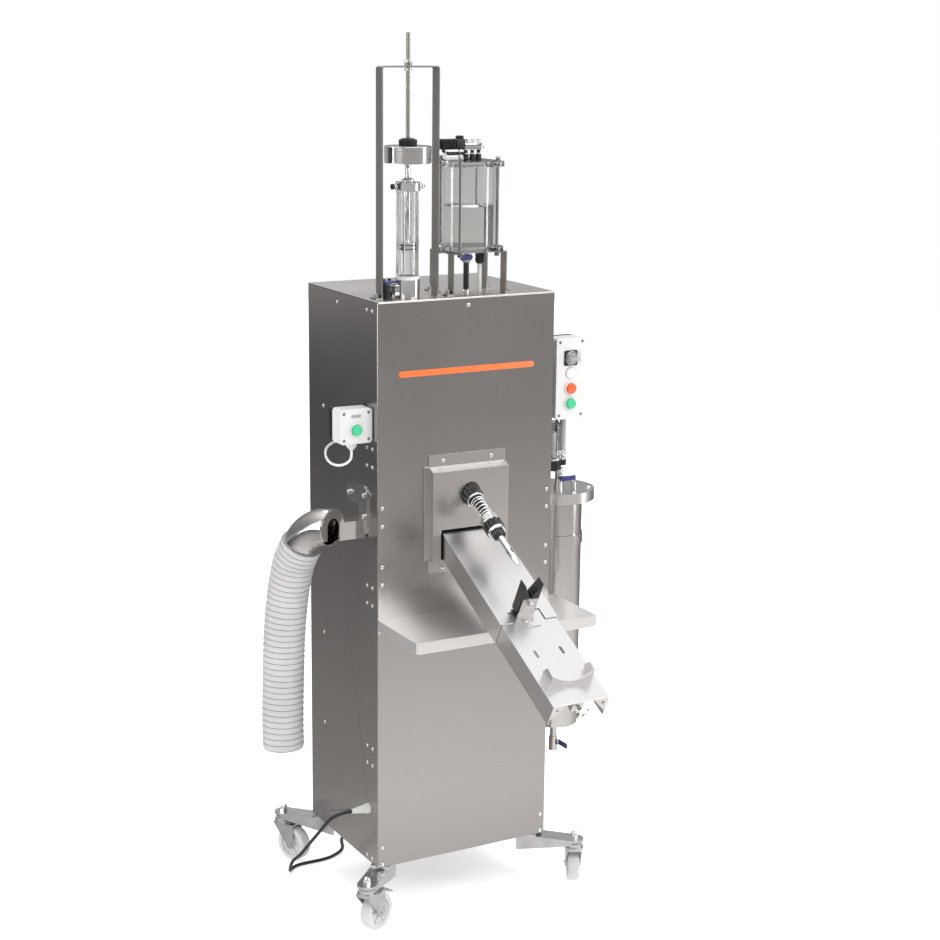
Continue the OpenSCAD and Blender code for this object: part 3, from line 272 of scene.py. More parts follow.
def skin(bm, rings, capped=True):
    """Faces between rings of points that follow one another along a form, and over its ends."""
    n = len(rings[0])
    for low, high in zip(rings, rings[1:]):
        for k in range(n):
            m = (k + 1) % n
            bm.faces.new((low[k], low[m], high[m], high[k]))
    if capped:
        bm.faces.new(list(reversed(rings[0])))
        bm.faces.new(rings[-1])
    bmesh.ops.recalc_face_normals(bm, faces=bm.faces)
    return bm


def round_edges(bm, edges, r, segments=2):
    bmesh.ops.bevel(bm, geom=edges, offset=r, segments=segments, profile=0.5, affect="EDGES")
    return bm


def block(w, d, h, r=1.0, segments=2):
    """Box with rounded edges, centred in x and y, standing on z 0."""
    bm = bmesh.new()
    bmesh.ops.create_cube(bm, size=1)
    bmesh.ops.scale(bm, vec=(w, d, h), verts=bm.verts)
    bmesh.ops.translate(bm, vec=(0, 0, h / 2), verts=bm.verts)
    return round_edges(bm, bm.edges[:], min(r, 0.49 * min(w, d, h)), segments)


def turned(profile, segments=40):
    """Turned form from (radius, height) points. Points at radius 0 close it; otherwise it is capped."""
    bm = bmesh.new()
    rings = []
    for r, z in profile:
        if r <= 0:
            rings.append([bm.verts.new((0, 0, z))])
        else:
            rings.append([bm.verts.new((r * math.cos(a), r * math.sin(a), z)) for a in angles(segments)])
    for low, high in zip(rings, rings[1:]):
        for k in range(segments):
            n = (k + 1) % segments
            if len(low) == 1:
                bm.faces.new((low[0], high[n], high[k]))
            elif len(high) == 1:
                bm.faces.new((low[k], low[n], high[0]))
            else:
                bm.faces.new((low[k], low[n], high[n], high[k]))
    if len(rings[0]) > 1:
        bm.faces.new(list(reversed(rings[0])))
    if len(rings[-1]) > 1:
        bm.faces.new(rings[-1])
    bmesh.ops.recalc_face_normals(bm, faces=bm.faces)
    return bm


def rod(radius, height, r=0.6, segments=32):
    """Round bar with rounded rims, standing on z 0."""
    r = min(r, 0.45 * height, 0.45 * radius)
    return turned([
        (0, 0), (radius - r, 0), (radius - 0.3 * r, 0.3 * r), (radius, r),
        (radius, height - r), (radius - 0.3 * r, height - 0.3 * r), (radius - r, height), (0, height),
    ], segments)


def hexagon(across, height, r=0.5):
    """Hexagonal bar or nut with chamfered corners."""
    bm = turned([(across * 0.5, 0), (across * 0.5, height)], 6)
    corners = 1.155  # across the corners, for 1 across the flats
    bmesh.ops.scale(bm, vec=(corners, corners, 1), verts=bm.verts)
    return round_edges(bm, bm.edges[:], r)


def lathe_ring(section, segments=40):
    """Ring turned from a closed section of (radius, height) points."""
    bm = bmesh.new()
    rings = []
    for a in angles(segments):
        rings.append([bm.verts.new((q * math.cos(a), q * math.sin(a), z)) for q, z in section])
    n = len(section)
    for one, two in zip(rings, rings[1:] + rings[:1]):
        for i in range(n):
            bm.faces.new((one[i], two[i], two[(i + 1) % n], one[(i + 1) % n]))
    bmesh.ops.recalc_face_normals(bm, faces=bm.faces)
    return bm


def fluted(radius, height, flutes, depth, chamfer=1.0):
    """Grip with rounded flutes along it."""
    bm = bmesh.new()
    rings = []
    for z, shrink in ((0, chamfer), (chamfer, 0), (height - chamfer, 0), (height, chamfer)):
        ring = []
        for a in angles(flutes * 8):
            q = radius - shrink - depth * max(0, math.cos(flutes * a)) ** 0.8
            ring.append(bm.verts.new((q * math.cos(a), q * math.sin(a), z)))
        rings.append(ring)
    return skin(bm, rings)


def plate(outline, thickness, r=0.4):
    """Flat form from an outline, with small rounded edges."""
    bm = bmesh.new()
    skin(bm, [[bm.verts.new((x, y, z)) for x, y in outline] for z in (0, thickness)])
    rims = [e for e in bm.edges if abs(e.verts[0].co.z - e.verts[1].co.z) < 1e-6]
    return round_edges(bm, rims, min(r, 0.4 * thickness))


def arc(cx, cy, r, start):
    """Quarter circle of points from an angle in degrees."""
    steps = 6
    turns = [math.radians(start + 90 * k / steps) for k in range(steps + 1)]
    return [(cx + r * math.cos(a), cy + r * math.sin(a)) for a in turns]


def rounded_outline(w, h, r):
    x, y = w / 2 - r, h / 2 - r
    return arc(x, y, r, 0) + arc(-x, y, r, 90) + arc(-x, -y, r, 180) + arc(x, -y, r, 270)


def directions(points):
    """Direction and a steady sideways vector at each point of a path."""
    n = len(points)
    along = []
    for i in range(n):
        a, b = points[max(i - 1, 0)], points[min(i + 1, n - 1)]
        along.append((b - a).normalized())
    side = along[0].orthogonal().normalized()
    sides = []
    for d in along:
        side = (side - d * side.dot(d)).normalized()
        sides.append(side)
    return along, sides


def swept(points, radius, segments=12, capped=True):
    """Tube along points. radius is a number, or a function of the place along it from 0 to 1."""
    points = [Vector(p) for p in points]
    along, sides = directions(points)
    bm = bmesh.new()
    rings = []
    last = len(points) - 1
    for i, (p, d, s) in enumerate(zip(points, along, sides)):
        q = radius(i / last) if callable(radius) else radius
        t = d.cross(s)
        ring = [p + s * (q * math.cos(a)) + t * (q * math.sin(a)) for a in angles(segments)]
        rings.append([bm.verts.new(place) for place in ring])
    return skin(bm, rings, capped)


def smooth(points, steps=6):
    """Points of a smooth curve through given ones."""
    p = [Vector(q) for q in points]
    out = []
    for i in range(len(p) - 1):
        a, b, c, d = p[max(i - 1, 0)], p[i], p[i + 1], p[min(i + 2, len(p) - 1)]
        for k in range(steps):
            t = k / steps
            out.append(0.5 * (2 * b + (c - a) * t + (2 * a - 5 * b + 4 * c - d) * t * t
                              + (3 * b - a - 3 * c + d) * t ** 3))
    out.append(p[-1])
    return out


def length_of(points):
    return sum((b - a).length for a, b in zip(points, points[1:]))


def evenly(points, count):
    """The same curve with points at equal distances along it."""
    total = length_of(points)
    out = [points[0]]
    run, i = 0.0, 0
    for k in range(1, count):
        goal = total * k / count
        while run + (points[i + 1] - points[i]).length < goal:
            run += (points[i + 1] - points[i]).length
            i += 1
        step = (points[i + 1] - points[i]).length
        out.append(points[i].lerp(points[i + 1], (goal - run) / step))
    out.append(points[-1])
    return out


SHARP_ANGLE = math.radians(32)


class Piece:
    """One visible piece, collected from forms with their own materials."""

    def __init__(self, name, body, *stands_for):
        self.name, self.body, self.stands_for = name, body, stands_for
        self.bm = bmesh.new()
        self.materials = []

    def add(self, form, matrix, material):
        if material not in self.materials:
            self.materials.append(material)
        index = self.materials.index(material)
        form.transform(matrix)
        for face in form.faces:
            face.material_index = index
        mesh = bpy.data.meshes.new("part")
        form.to_mesh(mesh)
        form.free()
        self.bm.from_mesh(mesh)
        bpy.data.meshes.remove(mesh)

    def done(self):
        """Make the object, on its body, in place of the CAD nodes that it stands for."""
        mesh = bpy.data.meshes.new(self.name)
        self.bm.to_mesh(mesh)
        self.bm.free()
        for material in self.materials:
            mesh.materials.append(material)
        mesh.shade_smooth()
        mesh.set_sharp_from_angle(angle=SHARP_ANGLE)
        obj = bpy.data.objects.new(self.name, mesh)
        bpy.context.scene.collection.objects.link(obj)
        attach(obj, self.body)
        if self.stands_for:
            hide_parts(*self.stands_for)
        return obj


# ---------------------------------------------------------------------------
# Camera, from the photograph's side
# ---------------------------------------------------------------------------
CAMERA_AT = (-1580, -3222, 1657)
CAMERA_TURN, CAMERA_RISE, CAMERA_ROLL = -28.954, 13.0207, 0.6252
CAMERA_LENS = 73.29


def make_camera():
    turn, rise, roll = (math.radians(a) for a in (CAMERA_TURN, CAMERA_RISE, CAMERA_ROLL))
    back = Vector((math.sin(turn) * math.cos(rise), -math.cos(turn) * math.cos(rise), math.sin(rise)))
    right = (-back).cross(Vector((0, 0, 1))).normalized()
    up = right.cross(-back)
    tilted_right = right * math.cos(roll) + up * math.sin(roll)
    tilted_up = up * math.cos(roll) - right * math.sin(roll)
    data = bpy.data.cameras.new("camera")
    data.sensor_width = 36
    data.lens = CAMERA_LENS
    data.clip_end = 50
    camera = bpy.data.objects.new("camera", data)
    bpy.context.scene.collection.objects.link(camera)
    camera.matrix_world = Matrix.Translation(at(*CAMERA_AT)) @ Matrix(
        (tilted_right, tilted_up, back)).transposed().to_4x4()
    bpy.context.scene.camera = camera


# ---------------------------------------------------------------------------
# Cords
# ---------------------------------------------------------------------------
def cord_piece(name, points, diameter, material, slot, *node_names):
    piece = Piece(name, "machine", *node_names)
    piece.add(swept(points, diameter / 2, 14), placed(0, 0, 0), material)
    return piece.done()


HOSE_ROUTE = [
    (-109, 117, 664.5), (-113, 126, 647), (-118, 136, 624), (-122, 144, 592), (-125, 150, 558),
    (-129, 154, 510), (-132, 156, 460), (-134, 156, 410), (-136, 155, 360), (-138, 153, 310),
    (-139, 151, 262), (-139, 150, 236),
]
MAINS_ROUTE = [
    (-40.3, 38, 117), (-52, 38, 117), (-63.5, 39.6, 115.4), (-73.2, 44.2, 110.8), (-79.7, 51, 104),
    (-82, 60, 95), (-82.5, 75, 81), (-83, 92, 65), (-83.5, 109, 49), (-84, 126, 33),
    (-84.5, 143, 17), (-85, 160, 1), (-85.2, 177, -15), (-85.2, 194, -30), (-85, 211, -43),
    (-85, 228, -56), (-84, 243, -70), (-81, 256, -85), (-77, 268, -96), (-71, 280, -103),
    (-62, 290, -104.5), (-50, 297, -104.5), (-34, 300, -104.5), (-14, 300, -104.5),
    (8, 300, -104.5), (30, 303, -104.5), (51, 312, -104.5), (69, 325, -104.5),
    (81, 342, -104.5), (88, 361, -104.5), (96, 379, -104.5), (109, 393, -104.5),
    (127, 402, -104.5), (149, 405, -104.5), (174.6, 405, -104.5),
]
MAINS_D = 7
COIL = (200, 450)
COIL_RADII = (31, 38, 45)
PLUG_AT = (COIL[0] + 27.6, COIL[1] - COIL_RADII[2], 13 - BASE_H)
BOX_CABLE_D = 5
BOX_CABLE_ROUTE = [
    (-36, 42, 861), (-36, 42, 850), (-37, 44, 842), (-42, 50, 834), (-50, 58, 829), (-58, 68, 828),
    (-65, 78, 832), (-68, 88, 840), (-66, 96, 849), (-60, 101, 857), (-50, 103, 863),
    (-38, 104, 867), (-26, 104, 869), (-14, 104, 870), (0, 104, 870),
]


def coil_points():
    """Five turns in two layers, starting and ending on the coil's front side."""
    points = []
    steps = 20
    inner, middle, outer = COIL_RADII
    low, high = MAINS_D / 2, 1.5 * MAINS_D
    # each turn: radii, the share of the turn in which it moves over, and heights
    plan = [
        (outer, middle, 0.75, 1.0, low, low), (middle, inner, 0.75, 1.0, low, low),
        (inner, inner, 0.5, 0.75, low, high), (inner, middle, 0.25, 0.5, high, high),
        (middle, outer, 0.25, 0.5, high, high),
    ]
    for r0, r1, start, end, z0, z1 in plan:
        for k in range(steps):
            share = k / steps
            t = min(1, max(0, (share - start) / (end - start)))
            t = t * t * (3 - 2 * t)
            angle = 2 * math.pi * share - math.pi / 2
            r = r0 + (r1 - r0) * t
            z = z0 + (z1 - z0) * t
            points.append((COIL[0] + r * math.cos(angle), COIL[1] + r * math.sin(angle), z - BASE_H))
    points.append((COIL[0], COIL[1] - outer, high - BASE_H))
    points.append((COIL[0] + 14, COIL[1] - outer, 11.5 - BASE_H))
    points.append(PLUG_AT)
    return points


def ribbed_hose():
    """Corrugated hose: a bulged wall with a grey helix between the bulges, open at its low end."""
    ribs = 36
    crest, bulge, thick = 42.3, 2.6, 3.4
    valley = crest - bulge
    inside = valley - thick
    line = evenly(smooth(HOSE_ROUTE, 12), 10 * ribs)

    def wall(t):
        wave = abs(math.sin(math.pi * ribs * t))
        return crest - bulge * (1 - wave ** 0.7)

    piece = Piece("hose", "machine", "spiral_hose")
    piece.add(swept(line, wall, 40, capped=False), placed(0, 0, 0), HOSE)
    piece.add(swept(line[::-1], inside, 40, capped=False), placed(0, 0, 0), HOSE)
    along, sides = directions(line)
    last = len(line) - 1
    helix = [(valley + r, z) for r, z in ((-0.8, -1.1), (0.5, -1.1), (0.9, 0), (0.5, 1.1), (-0.8, 1.1))]
    rim = [(inside - 0.3, -0.8), (valley - 0.6, -0.8), (valley - 0.6, 0.8), (inside - 0.3, 0.8)]
    for k in range(ribs + 1):
        i = round(last * k / ribs)
        turn = Matrix((sides[i], along[i].cross(sides[i]), along[i])).transposed().to_4x4()
        here = placed(*line[i]) @ turn
        piece.add(lathe_ring(helix), here, RIB)
        if k in (0, ribs):
            piece.add(lathe_ring(rim), here, HOSE)
    obj = piece.done()


def mains_cord():
    route = smooth(MAINS_ROUTE, 4)[:-1] + smooth(coil_points(), 2)
    obj = cord_piece("mains_cord", route, MAINS_D, CABLE, "black_cable", "mains_cable", "mains_coil")
    plug = mains_plug()


def mains_plug():
    piece = Piece("plug", "machine", "mains_plug")
    x, y, z = PLUG_AT
    length = 48
    relief = [(0, 0), (4.6, 0), (5, 0.6)]
    for k in range(5):
        relief += [(5, 1.2 + 2 * k), (4.2, 1.6 + 2 * k), (4.2, 2.4 + 2 * k)]
    relief += [(5, 12), (0, 12)]
    piece.add(turned(relief, 24), placed(x, y, z, TO_RIGHT), CABLE)
    piece.add(block(26, 34, 34, 5, 4), placed(x + 14, y, z, TO_RIGHT), BLACK)
    piece.add(block(22, 36, 6, 2.5, 3), placed(x + 12, y, z, TO_RIGHT), BLACK)
    for side in (-9.5, 9.5):
        here = placed(x + length, y + side, z, TO_RIGHT)
        piece.add(rod(2.4, 19, 1.0, 20), here, BRIGHT)
        piece.add(rod(2.7, 7, 0.3, 20), here, BLACK)
    return piece.done()


def box_cord():
    route = smooth(BOX_CABLE_ROUTE, 5)
    obj = cord_piece("box_cord", route, BOX_CABLE_D, WHITE_CABLE, "white_hose", "box_cable")


# ---------------------------------------------------------------------------
# Light and floor
# ---------------------------------------------------------------------------
FLOOR_R = 9


def make_stage():
    """Round white floor that glows faintly. To glossy rays it shows a painted reflection: a glow that grows
    darker with distance, as a studio floor does, and towards the back.
    """
    mat = shader("floor_paint_and_glow", (0.9, 0.9, 0.9), roughness=0.8)
    bsdf = mat.node_tree.nodes["Principled BSDF"]
    speckle = texture(mat, (1, 1, 1), 60.0, 3.0)
    link(mat, tone(mat, speckle, (0.88, 0.88, 0.88), (0.92, 0.92, 0.92)), "Color", bsdf, "Base Color")
    # The floor glows faintly all over, standing in for light bounced from it.
    bsdf.inputs["Emission Color"].default_value = (1, 1, 1, 1)
    bsdf.inputs["Emission Strength"].default_value = 0.42
    coords = node(mat, "ShaderNodeTexCoord")
    distance = node(mat, "ShaderNodeVectorMath", operation="DISTANCE")
    distance.inputs[1].default_value = (0.2, -0.5, 0)
    link(mat, coords, "Object", distance, 0)
    reach = map_range(mat, 0.0, 7.0, 0.0, 1.0)
    link(mat, distance, "Value", reach, "Value")
    # Painted reflection, seen only by glossy rays: a glow that is brightest near the machine and darkens
    # with distance and towards the back.
    painted_reflection_fade = gradient(mat, (0.0, (1.25, 1.22, 1.2)),
                    *warm_greys(1, 0.97, 0.95, (0.17, 0.98), (0.37, 0.66), (0.8, 0.19)),
                    (1.0, (0.16, 0.155, 0.15)))
    link(mat, reach, "Result", painted_reflection_fade, "Fac")
    split = node(mat, "ShaderNodeSeparateXYZ")
    link(mat, coords, "Object", split, 0)
    behind = map_range(mat, -0.5, 0.7, 1.0, 0.42)
    link(mat, split, "Y", behind, "Value")
    glow = node(mat, "ShaderNodeEmission")
    link(mat, painted_reflection_fade, "Color", glow, "Color")
    link(mat, behind, "Result", glow, "Strength")
    paths = node(mat, "ShaderNodeLightPath")
    mix = node(mat, "ShaderNodeMixShader")
    link(mat, paths, "Is Glossy Ray", mix, 0)
    link(mat, bsdf, 0, mix, 1)
    link(mat, glow, 0, mix, 2)
    link(mat, mix, 0, mat.node_tree.nodes["Material Output"], "Surface")
    bm = bmesh.new()
    bmesh.ops.create_circle(bm, cap_ends=True, segments=96, radius=FLOOR_R)
    mesh = bpy.data.meshes.new("floor")
    bm.to_mesh(mesh)
    bm.free()
    mesh.materials.append(mat)
    floor = bpy.data.objects.new("floor", mesh)
    bpy.context.scene.collection.objects.link(floor)


def area_light(name, place, target, size, power):
    data = bpy.data.lights.new(name, "AREA")
    data.shape = "RECTANGLE"
    data.size, data.size_y = size
    data.energy = power
    light = bpy.data.objects.new(name, data)
    light.location = place
    light.rotation_euler = (Vector(target) - Vector(place)).to_track_quat("-Z", "Y").to_euler()
    bpy.context.scene.collection.objects.link(light)


def make_light():
    """Area lights, and a world that is white to the camera and graded in height for everything else."""
    scene = bpy.context.scene
    scene.view_settings.view_transform = "Standard"
    world = bpy.data.worlds.new("studio")
    scene.world = world
    world.use_nodes = True
    coords = node(world, "ShaderNodeTexCoord")
    split = node(world, "ShaderNodeSeparateXYZ")
    link(world, coords, "Generated", split, 0)
    height = map_range(world, -1, 1, 0.0, 1.0)
    link(world, split, "Z", height, "Value")
    sky = gradient(world, (0.40, (0.5, 0.49, 0.48)),
                   *warm_greys(1, 0.975, 0.96, (0.52, 0.15), (0.66, 0.24), (0.78, 0.42)),
                   (0.90, (1.0, 1.0, 1.0)))
    link(world, height, "Result", sky, "Fac")
    gain = node(world, "ShaderNodeVectorMath", operation="SCALE")
    gain.inputs["Scale"].default_value = 1.5
    link(world, sky, "Color", gain, 0)
    paths = node(world, "ShaderNodeLightPath")
    mix = node(world, "ShaderNodeMix", data_type="RGBA")
    colour_a, colour_b, colour_out = 6, 7, 2  # the RGBA sockets of a Mix node
    link(world, paths, "Is Camera Ray", mix, "Factor")
    link(world, gain, 0, mix, colour_a)
    mix.inputs[colour_b].default_value = (1, 1, 1, 1)
    background = world.node_tree.nodes["Background"]
    link(world, mix, colour_out, background, "Color")
    background.inputs["Strength"].default_value = 1.0
    area_light("key", (1.6, -3.4, 3.4), (0, 0, 0.7), (2.2, 2.2), 70)
    area_light("fill", (-3.6, -1.4, 2.6), (0, 0, 0.8), (2.0, 2.6), 24)
    area_light("rim", (0.6, 3.0, 4.4), (0, 0, 0.9), (2.0, 1.6), 60)
    area_light("strip_right", (2.9, -1.6, 1.3), (0, 0, 1.1), (0.5, 2.4), 30)
    area_light("strip_left", (-2.9, 0.9, 1.5), (0, 0, 1.3), (0.4, 2.2), 14)


make_camera()
ribbed_hose()
mains_cord()
box_cord()
make_stage()
make_light()


# ---------------------------------------------------------------------------
# CAD nodes that stay, with small rounded edges
# ---------------------------------------------------------------------------
def dress(material, *names, edge=0.6):
    for name in names:
        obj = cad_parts[name]
        obj.data.materials.clear()
        obj.data.materials.append(material)
        weld = obj.modifiers.new("weld", "WELD")
        weld.merge_threshold = 0.00001
        bevel = obj.modifiers.new("edges", "BEVEL")
        bevel.width = edge * MM
        bevel.segments = 2
        bevel.limit_method = "ANGLE"
        bevel.angle_limit = math.radians(35)
        bevel.harden_normals = False
        normals = obj.modifiers.new("normals", "WEIGHTED_NORMAL")
        normals.keep_sharp = True
        normals.weight = 100


dress(STEEL, "cabinet_shell", "front_panel", "base_plate", edge=1.0)
dress(LIT_TOP_STEEL, "top_panel", edge=0.9)
dress(COVER, "nozzle_cover", edge=0.7)
dress(LIT_SHELF_STEEL, "shelf", edge=0.6)
dress(TRAY, "carriage", "tray_extension", "rest_brackets", edge=0.5)
dress(POLISHED, "collector", edge=0.5)
dress(BAR, "yoke", "reservoir_stand", "rail_frame", edge=0.5)
dress(ZINC, "caster_arms", "fork_fl", "fork_fr", "fork_rl", "fork_rr", edge=0.8)
dress(ZINC, "brake_pedal_fl", "brake_pedal_fr", edge=0.6)
dress(BRIGHT, "fasteners", "tray_cylinder", "carriage_rod", "thumb_screw", edge=0.3)
dress(BRIGHT, "nozzle_tube", edge=0.3)
dress(THREAD, "stroke_rod", edge=0.3)
dress(BLACK, "neck_rest", "box_bases", edge=0.7)
dress(WHITE, "box_covers", edge=1.6)
dress(BLUE, "dosing_lever", "reservoir_lever", "lid_lever", "drain_lever", edge=0.9)
dress(GLASS, "dosing_glass", edge=0.3)
dress(ACRYLIC, "reservoir_plates", "reservoir_tube", edge=0.4)
dress(TANK, "tank_body", edge=0.6)
dress(LID, "tank_lid", edge=0.9)

# ---------------------------------------------------------------------------
# Casters
# ---------------------------------------------------------------------------
# where each caster is swivelled to, in degrees
WHEEL_TURNS = {"fl": 24, "fr": 62, "rl": -64, "rr": 150}


def make_wheel(corner, turn):
    name = "wheel_" + corner
    low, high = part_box(name)
    here = Matrix.Translation((low + high) / 2) @ rotation((90, 0, turn)) @ Matrix.Scale(MM, 4)
    tyre = [
        (11, -13.5), (11, -8.5), (24.5, -8), (26.5, -11.6), (28, -12), (34.5, -12), (36.6, -10.6),
        (37.5, -7), (37.5, 7), (36.6, 10.6), (34.5, 12), (28, 12), (26.5, 11.6), (24.5, 8),
        (11, 8.5), (11, 13.5), (5, 13.5), (5, -13.5),
    ]
    piece = Piece("tyre_" + corner, name, name)
    piece.add(lathe_ring(tyre, 64), here, WHEEL)
    for side in (-1, 1):
        for k in range(6):
            spoke = rotation((0, 0, 60 * k)) @ Matrix.Translation((17.5, 0, 0))
            lift = Matrix.Translation((0, 0, 8 if side > 0 else -10))
            piece.add(block(15, 3.2, 2, 0.8), here @ lift @ spoke, WHEEL)
        piece.add(lathe_ring([(6.2, 0), (8.6, 0), (8.6, 0.5), (6.2, 0.5)], 32),
                  here @ Matrix.Translation((0, 0, 13.4 if side > 0 else -13.9)), BRIGHT)
    piece.done()


for corner, turn in WHEEL_TURNS.items():
    make_wheel(corner, turn)


# ---------------------------------------------------------------------------
# Filling nozzle
# ---------------------------------------------------------------------------
NOZZLE_H = 67
NOZZLE_BORE = 7.4


def along_nozzle(s):
    """The same on the filling nozzle, whose own +Z points down the slope."""
    return on_slope(0, s, NOZZLE_H, DOWN_SLOPE)


def make_nozzle():
    grip = Piece("nozzle_grip", "machine", "nozzle_housing")
    grip.add(fluted(20, 62, 12, 2.0, 1.6), along_nozzle(-80), ALLOY)
    grip.add(rod(17.6, 5, 1.0, 40), along_nozzle(-18), BRIGHT)
    grip.add(rod(15.5, 2, 0.6, 40), along_nozzle(-13), BLACK)
    grip.add(rod(7.3, 47, 0.2, 32), along_nozzle(-12), BLACK)
    grip.done()
    bush = Piece("nozzle_collar", "bush", "nozzle_bush")
    bush.add(lathe_ring([
        (NOZZLE_BORE, 0), (15.8, 0), (17.4, 1.2), (17.4, 4.6), (16.2, 5.2), (16.2, 6.6), (17.4, 7.2),
        (17.4, 11.4), (16.2, 12), (16.2, 13.4), (17.2, 14), (17.2, 17), (NOZZLE_BORE, 17),
    ], 48), along_nozzle(42), BRIGHT)
    bush.add(fluted(20, 21, 10, 2.2, 1.4), along_nozzle(58.5), ALLOY)
    cone = [(NOZZLE_BORE, 0), (18.4, 0), (18.4, 2), (16.6, 5.6), (NOZZLE_BORE, 5.6)]
    bush.add(lathe_ring(cone, 48), along_nozzle(79.5), BRIGHT)
    bush.add(hexagon(25, 9, 0.8), along_nozzle(85), ALLOY)
    wiper = [(NOZZLE_BORE, 0), (12, 0), (9.4, 5), (NOZZLE_BORE, 5)]
    bush.add(lathe_ring(wiper, 40), along_nozzle(94), BLACK)
    bush.done()


SPRING_START, SPRING_END = -10.9, 41.9
SPRING_R, SPRING_WIRE, SPRING_TURNS = 13, 1.6, 6.5
SPRING_CLOSING = 0.045  # how much the end turns are drawn together, as a share of the length


def make_spring():
    """Round-wire spring with closed ends."""
    length = SPRING_END - SPRING_START - 2 * SPRING_WIRE
    steps = int(SPRING_TURNS * 28)
    points = []
    for k in range(steps + 1):
        t = k / steps
        rise = t - SPRING_CLOSING * math.sin(2 * math.pi * t)
        angle = 2 * math.pi * SPRING_TURNS * t
        points.append((SPRING_R * math.cos(angle), SPRING_R * math.sin(angle), SPRING_WIRE + length * rise))
    spring = Piece("spring_coil", "machine", "nozzle_spring")
    spring.add(swept(points, SPRING_WIRE, 12), along_nozzle(SPRING_START), BRIGHT)
    coil = spring.done()
    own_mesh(coil)


make_nozzle()
make_spring()


# ---------------------------------------------------------------------------
# Dosing unit
# ---------------------------------------------------------------------------
DOSE_X, DOSE_Y = 84, 42
CAP_Z, DISC_Z, DISC_H, PISTON_Z = 204, 256, 32, 90
YOKE_NUT_Z = (426.5, 442)


def dosing(z=0, x=0, y=0, turn=(0, 0, 0)):
    """Place over the top panel, from the middle of the glass cylinder."""
    return placed(DOSE_X + x, DOSE_Y + y, CAB_H + z, turn)


def make_dosing():
    head = Piece("dosing_head", "machine", "dosing_frame")
    head.add(turned([
        (0, 0), (23.4, 0), (24, 0.6), (24, 5.4), (23.3, 6), (23.3, 7.2), (24, 7.8), (24, 35.6),
        (23.4, 36.4), (0, 36.4),
    ], 64), dosing(), BRIGHT)
    head.add(lathe_ring([(19.2, 0), (23.6, 0), (23.6, 4.6), (22.6, 5.6), (19.2, 5.6)], 64),
             dosing(36.4), WHITE)
    head.add(lathe_ring([
        (5.15, 0), (19.2, 0), (23.3, 0), (24, 0.7), (24, 15.3), (23.3, 16), (12.6, 16), (12, 16.6),
        (12, 21.2), (11.2, 22), (5.15, 22),
    ], 64), dosing(CAP_Z), BRIGHT)
    head.add(lathe_ring([(5.2, 0), (7.6, 0), (7.6, 1.2), (5.2, 1.2)], 32), dosing(CAP_Z + 22), BLACK)
    for k in range(4):
        a = math.radians(45 + 90 * k)
        x, y = 21.5 * math.cos(a), 21.5 * math.sin(a)
        head.add(rod(1.5, 168, 0.3, 16), dosing(39, x, y), BRIGHT)
        head.add(hexagon(5, 3, 0.4), dosing(CAP_Z + 16, x, y), BRIGHT)
    for side, turn, grip in ((-1, TO_LEFT, BLACK), (1, TO_RIGHT, BRIGHT)):
        head.add(rod(3, 10, 0.5, 24), dosing(CAP_Z + 8, side * 23.4, 0, turn), BRIGHT)
        head.add(fluted(5.4, 6, 10, 0.8, 0.8), dosing(CAP_Z + 8, side * 29, 0, turn), grip)
    head.add(block(12, 18, 20, 1.5), dosing(6, -26), BRIGHT)
    head.add(rod(6, 14, 0.8, 32), dosing(16, -45, 0, TO_RIGHT), ALLOY)
    head.add(turned([
        (0, 0), (8, 0), (8, 9), (7, 10), (7, 13), (8, 14), (8, 23), (6.6, 25), (6.6, 27), (0, 27),
    ], 32), dosing(0, -46), BLACK)
    for x, y in ((-38, 26), (-24, 30)):
        head.add(hexagon(10.4, 9, 0.6), dosing(0, x, y), BLACK)
        head.add(rod(5.4, 11, 0.8, 24), dosing(9, x, y), BLACK)
        head.add(rod(4.4, 4, 0.5, 24), dosing(20, x, y), BRIGHT)
        head.add(rod(3.4, 10, 0.4, 24), dosing(24, x, y), BLACK)
    head.done()

    piston = Piece("stroke_disc", "dosing_piston", "dosing_piston")
    grooves = [(0, DISC_H)]
    for k in range(9):
        r = 8 + 4 * k
        grooves += [(r, DISC_H), (r + 0.25, DISC_H - 0.2), (r + 0.5, DISC_H)]
    rim = [(0, 0), (43.6, 0), (45, 1.2), (45, DISC_H - 1.2), (43.6, DISC_H)]
    piston.add(turned(rim + grooves[::-1], 96), dosing(DISC_Z), DISC)
    piston.add(rod(8, 3, 0.6, 32), dosing(DISC_Z - 3), BRIGHT)
    piston.add(rod(4.98, 149, 0.3, 32), dosing(PISTON_Z + 16), BRIGHT)
    piston.add(turned([
        (0, 0), (15.4, 0), (16.3, 0.8), (16.3, 3), (15.5, 3.2), (15.5, 5), (16.3, 5.2), (16.3, 10),
        (15.5, 10.2), (15.5, 12), (16.3, 12.2), (16.3, 15.2), (15.4, 16), (0, 16),
    ], 48), dosing(PISTON_Z), BRIGHT)
    for z in (4.1, 11.1):
        piston.add(lathe_ring([(15.2, z - 0.8), (16.2, z - 0.8), (16.2, z + 0.8), (15.2, z + 0.8)], 48),
                   dosing(PISTON_Z), RUBBER)
    piston.done()

    knob = Piece("stroke_knob", "adjuster", "adjuster_knob")
    knob_z = DISC_Z + DISC_H + 0.3
    knob.add(fluted(17.5, 11.5, 24, 1.1, 1.0), dosing(knob_z), BLACK)
    knob.add(turned([(0, 0), (13.5, 0), (12.5, 2.2), (8, 3), (0, 3)], 40), dosing(knob_z + 11.3), BLACK)
    knob.done()

    nuts = Piece("yoke_nuts", "machine")
    for z in YOKE_NUT_Z:
        nuts.add(lathe_ring([(4.2, 0), (6.6, 0), (7, 0.6), (7, 4.4), (6.6, 5), (4.2, 5)], 32),
                 dosing(z), BRIGHT)
    nuts.done()


make_dosing()


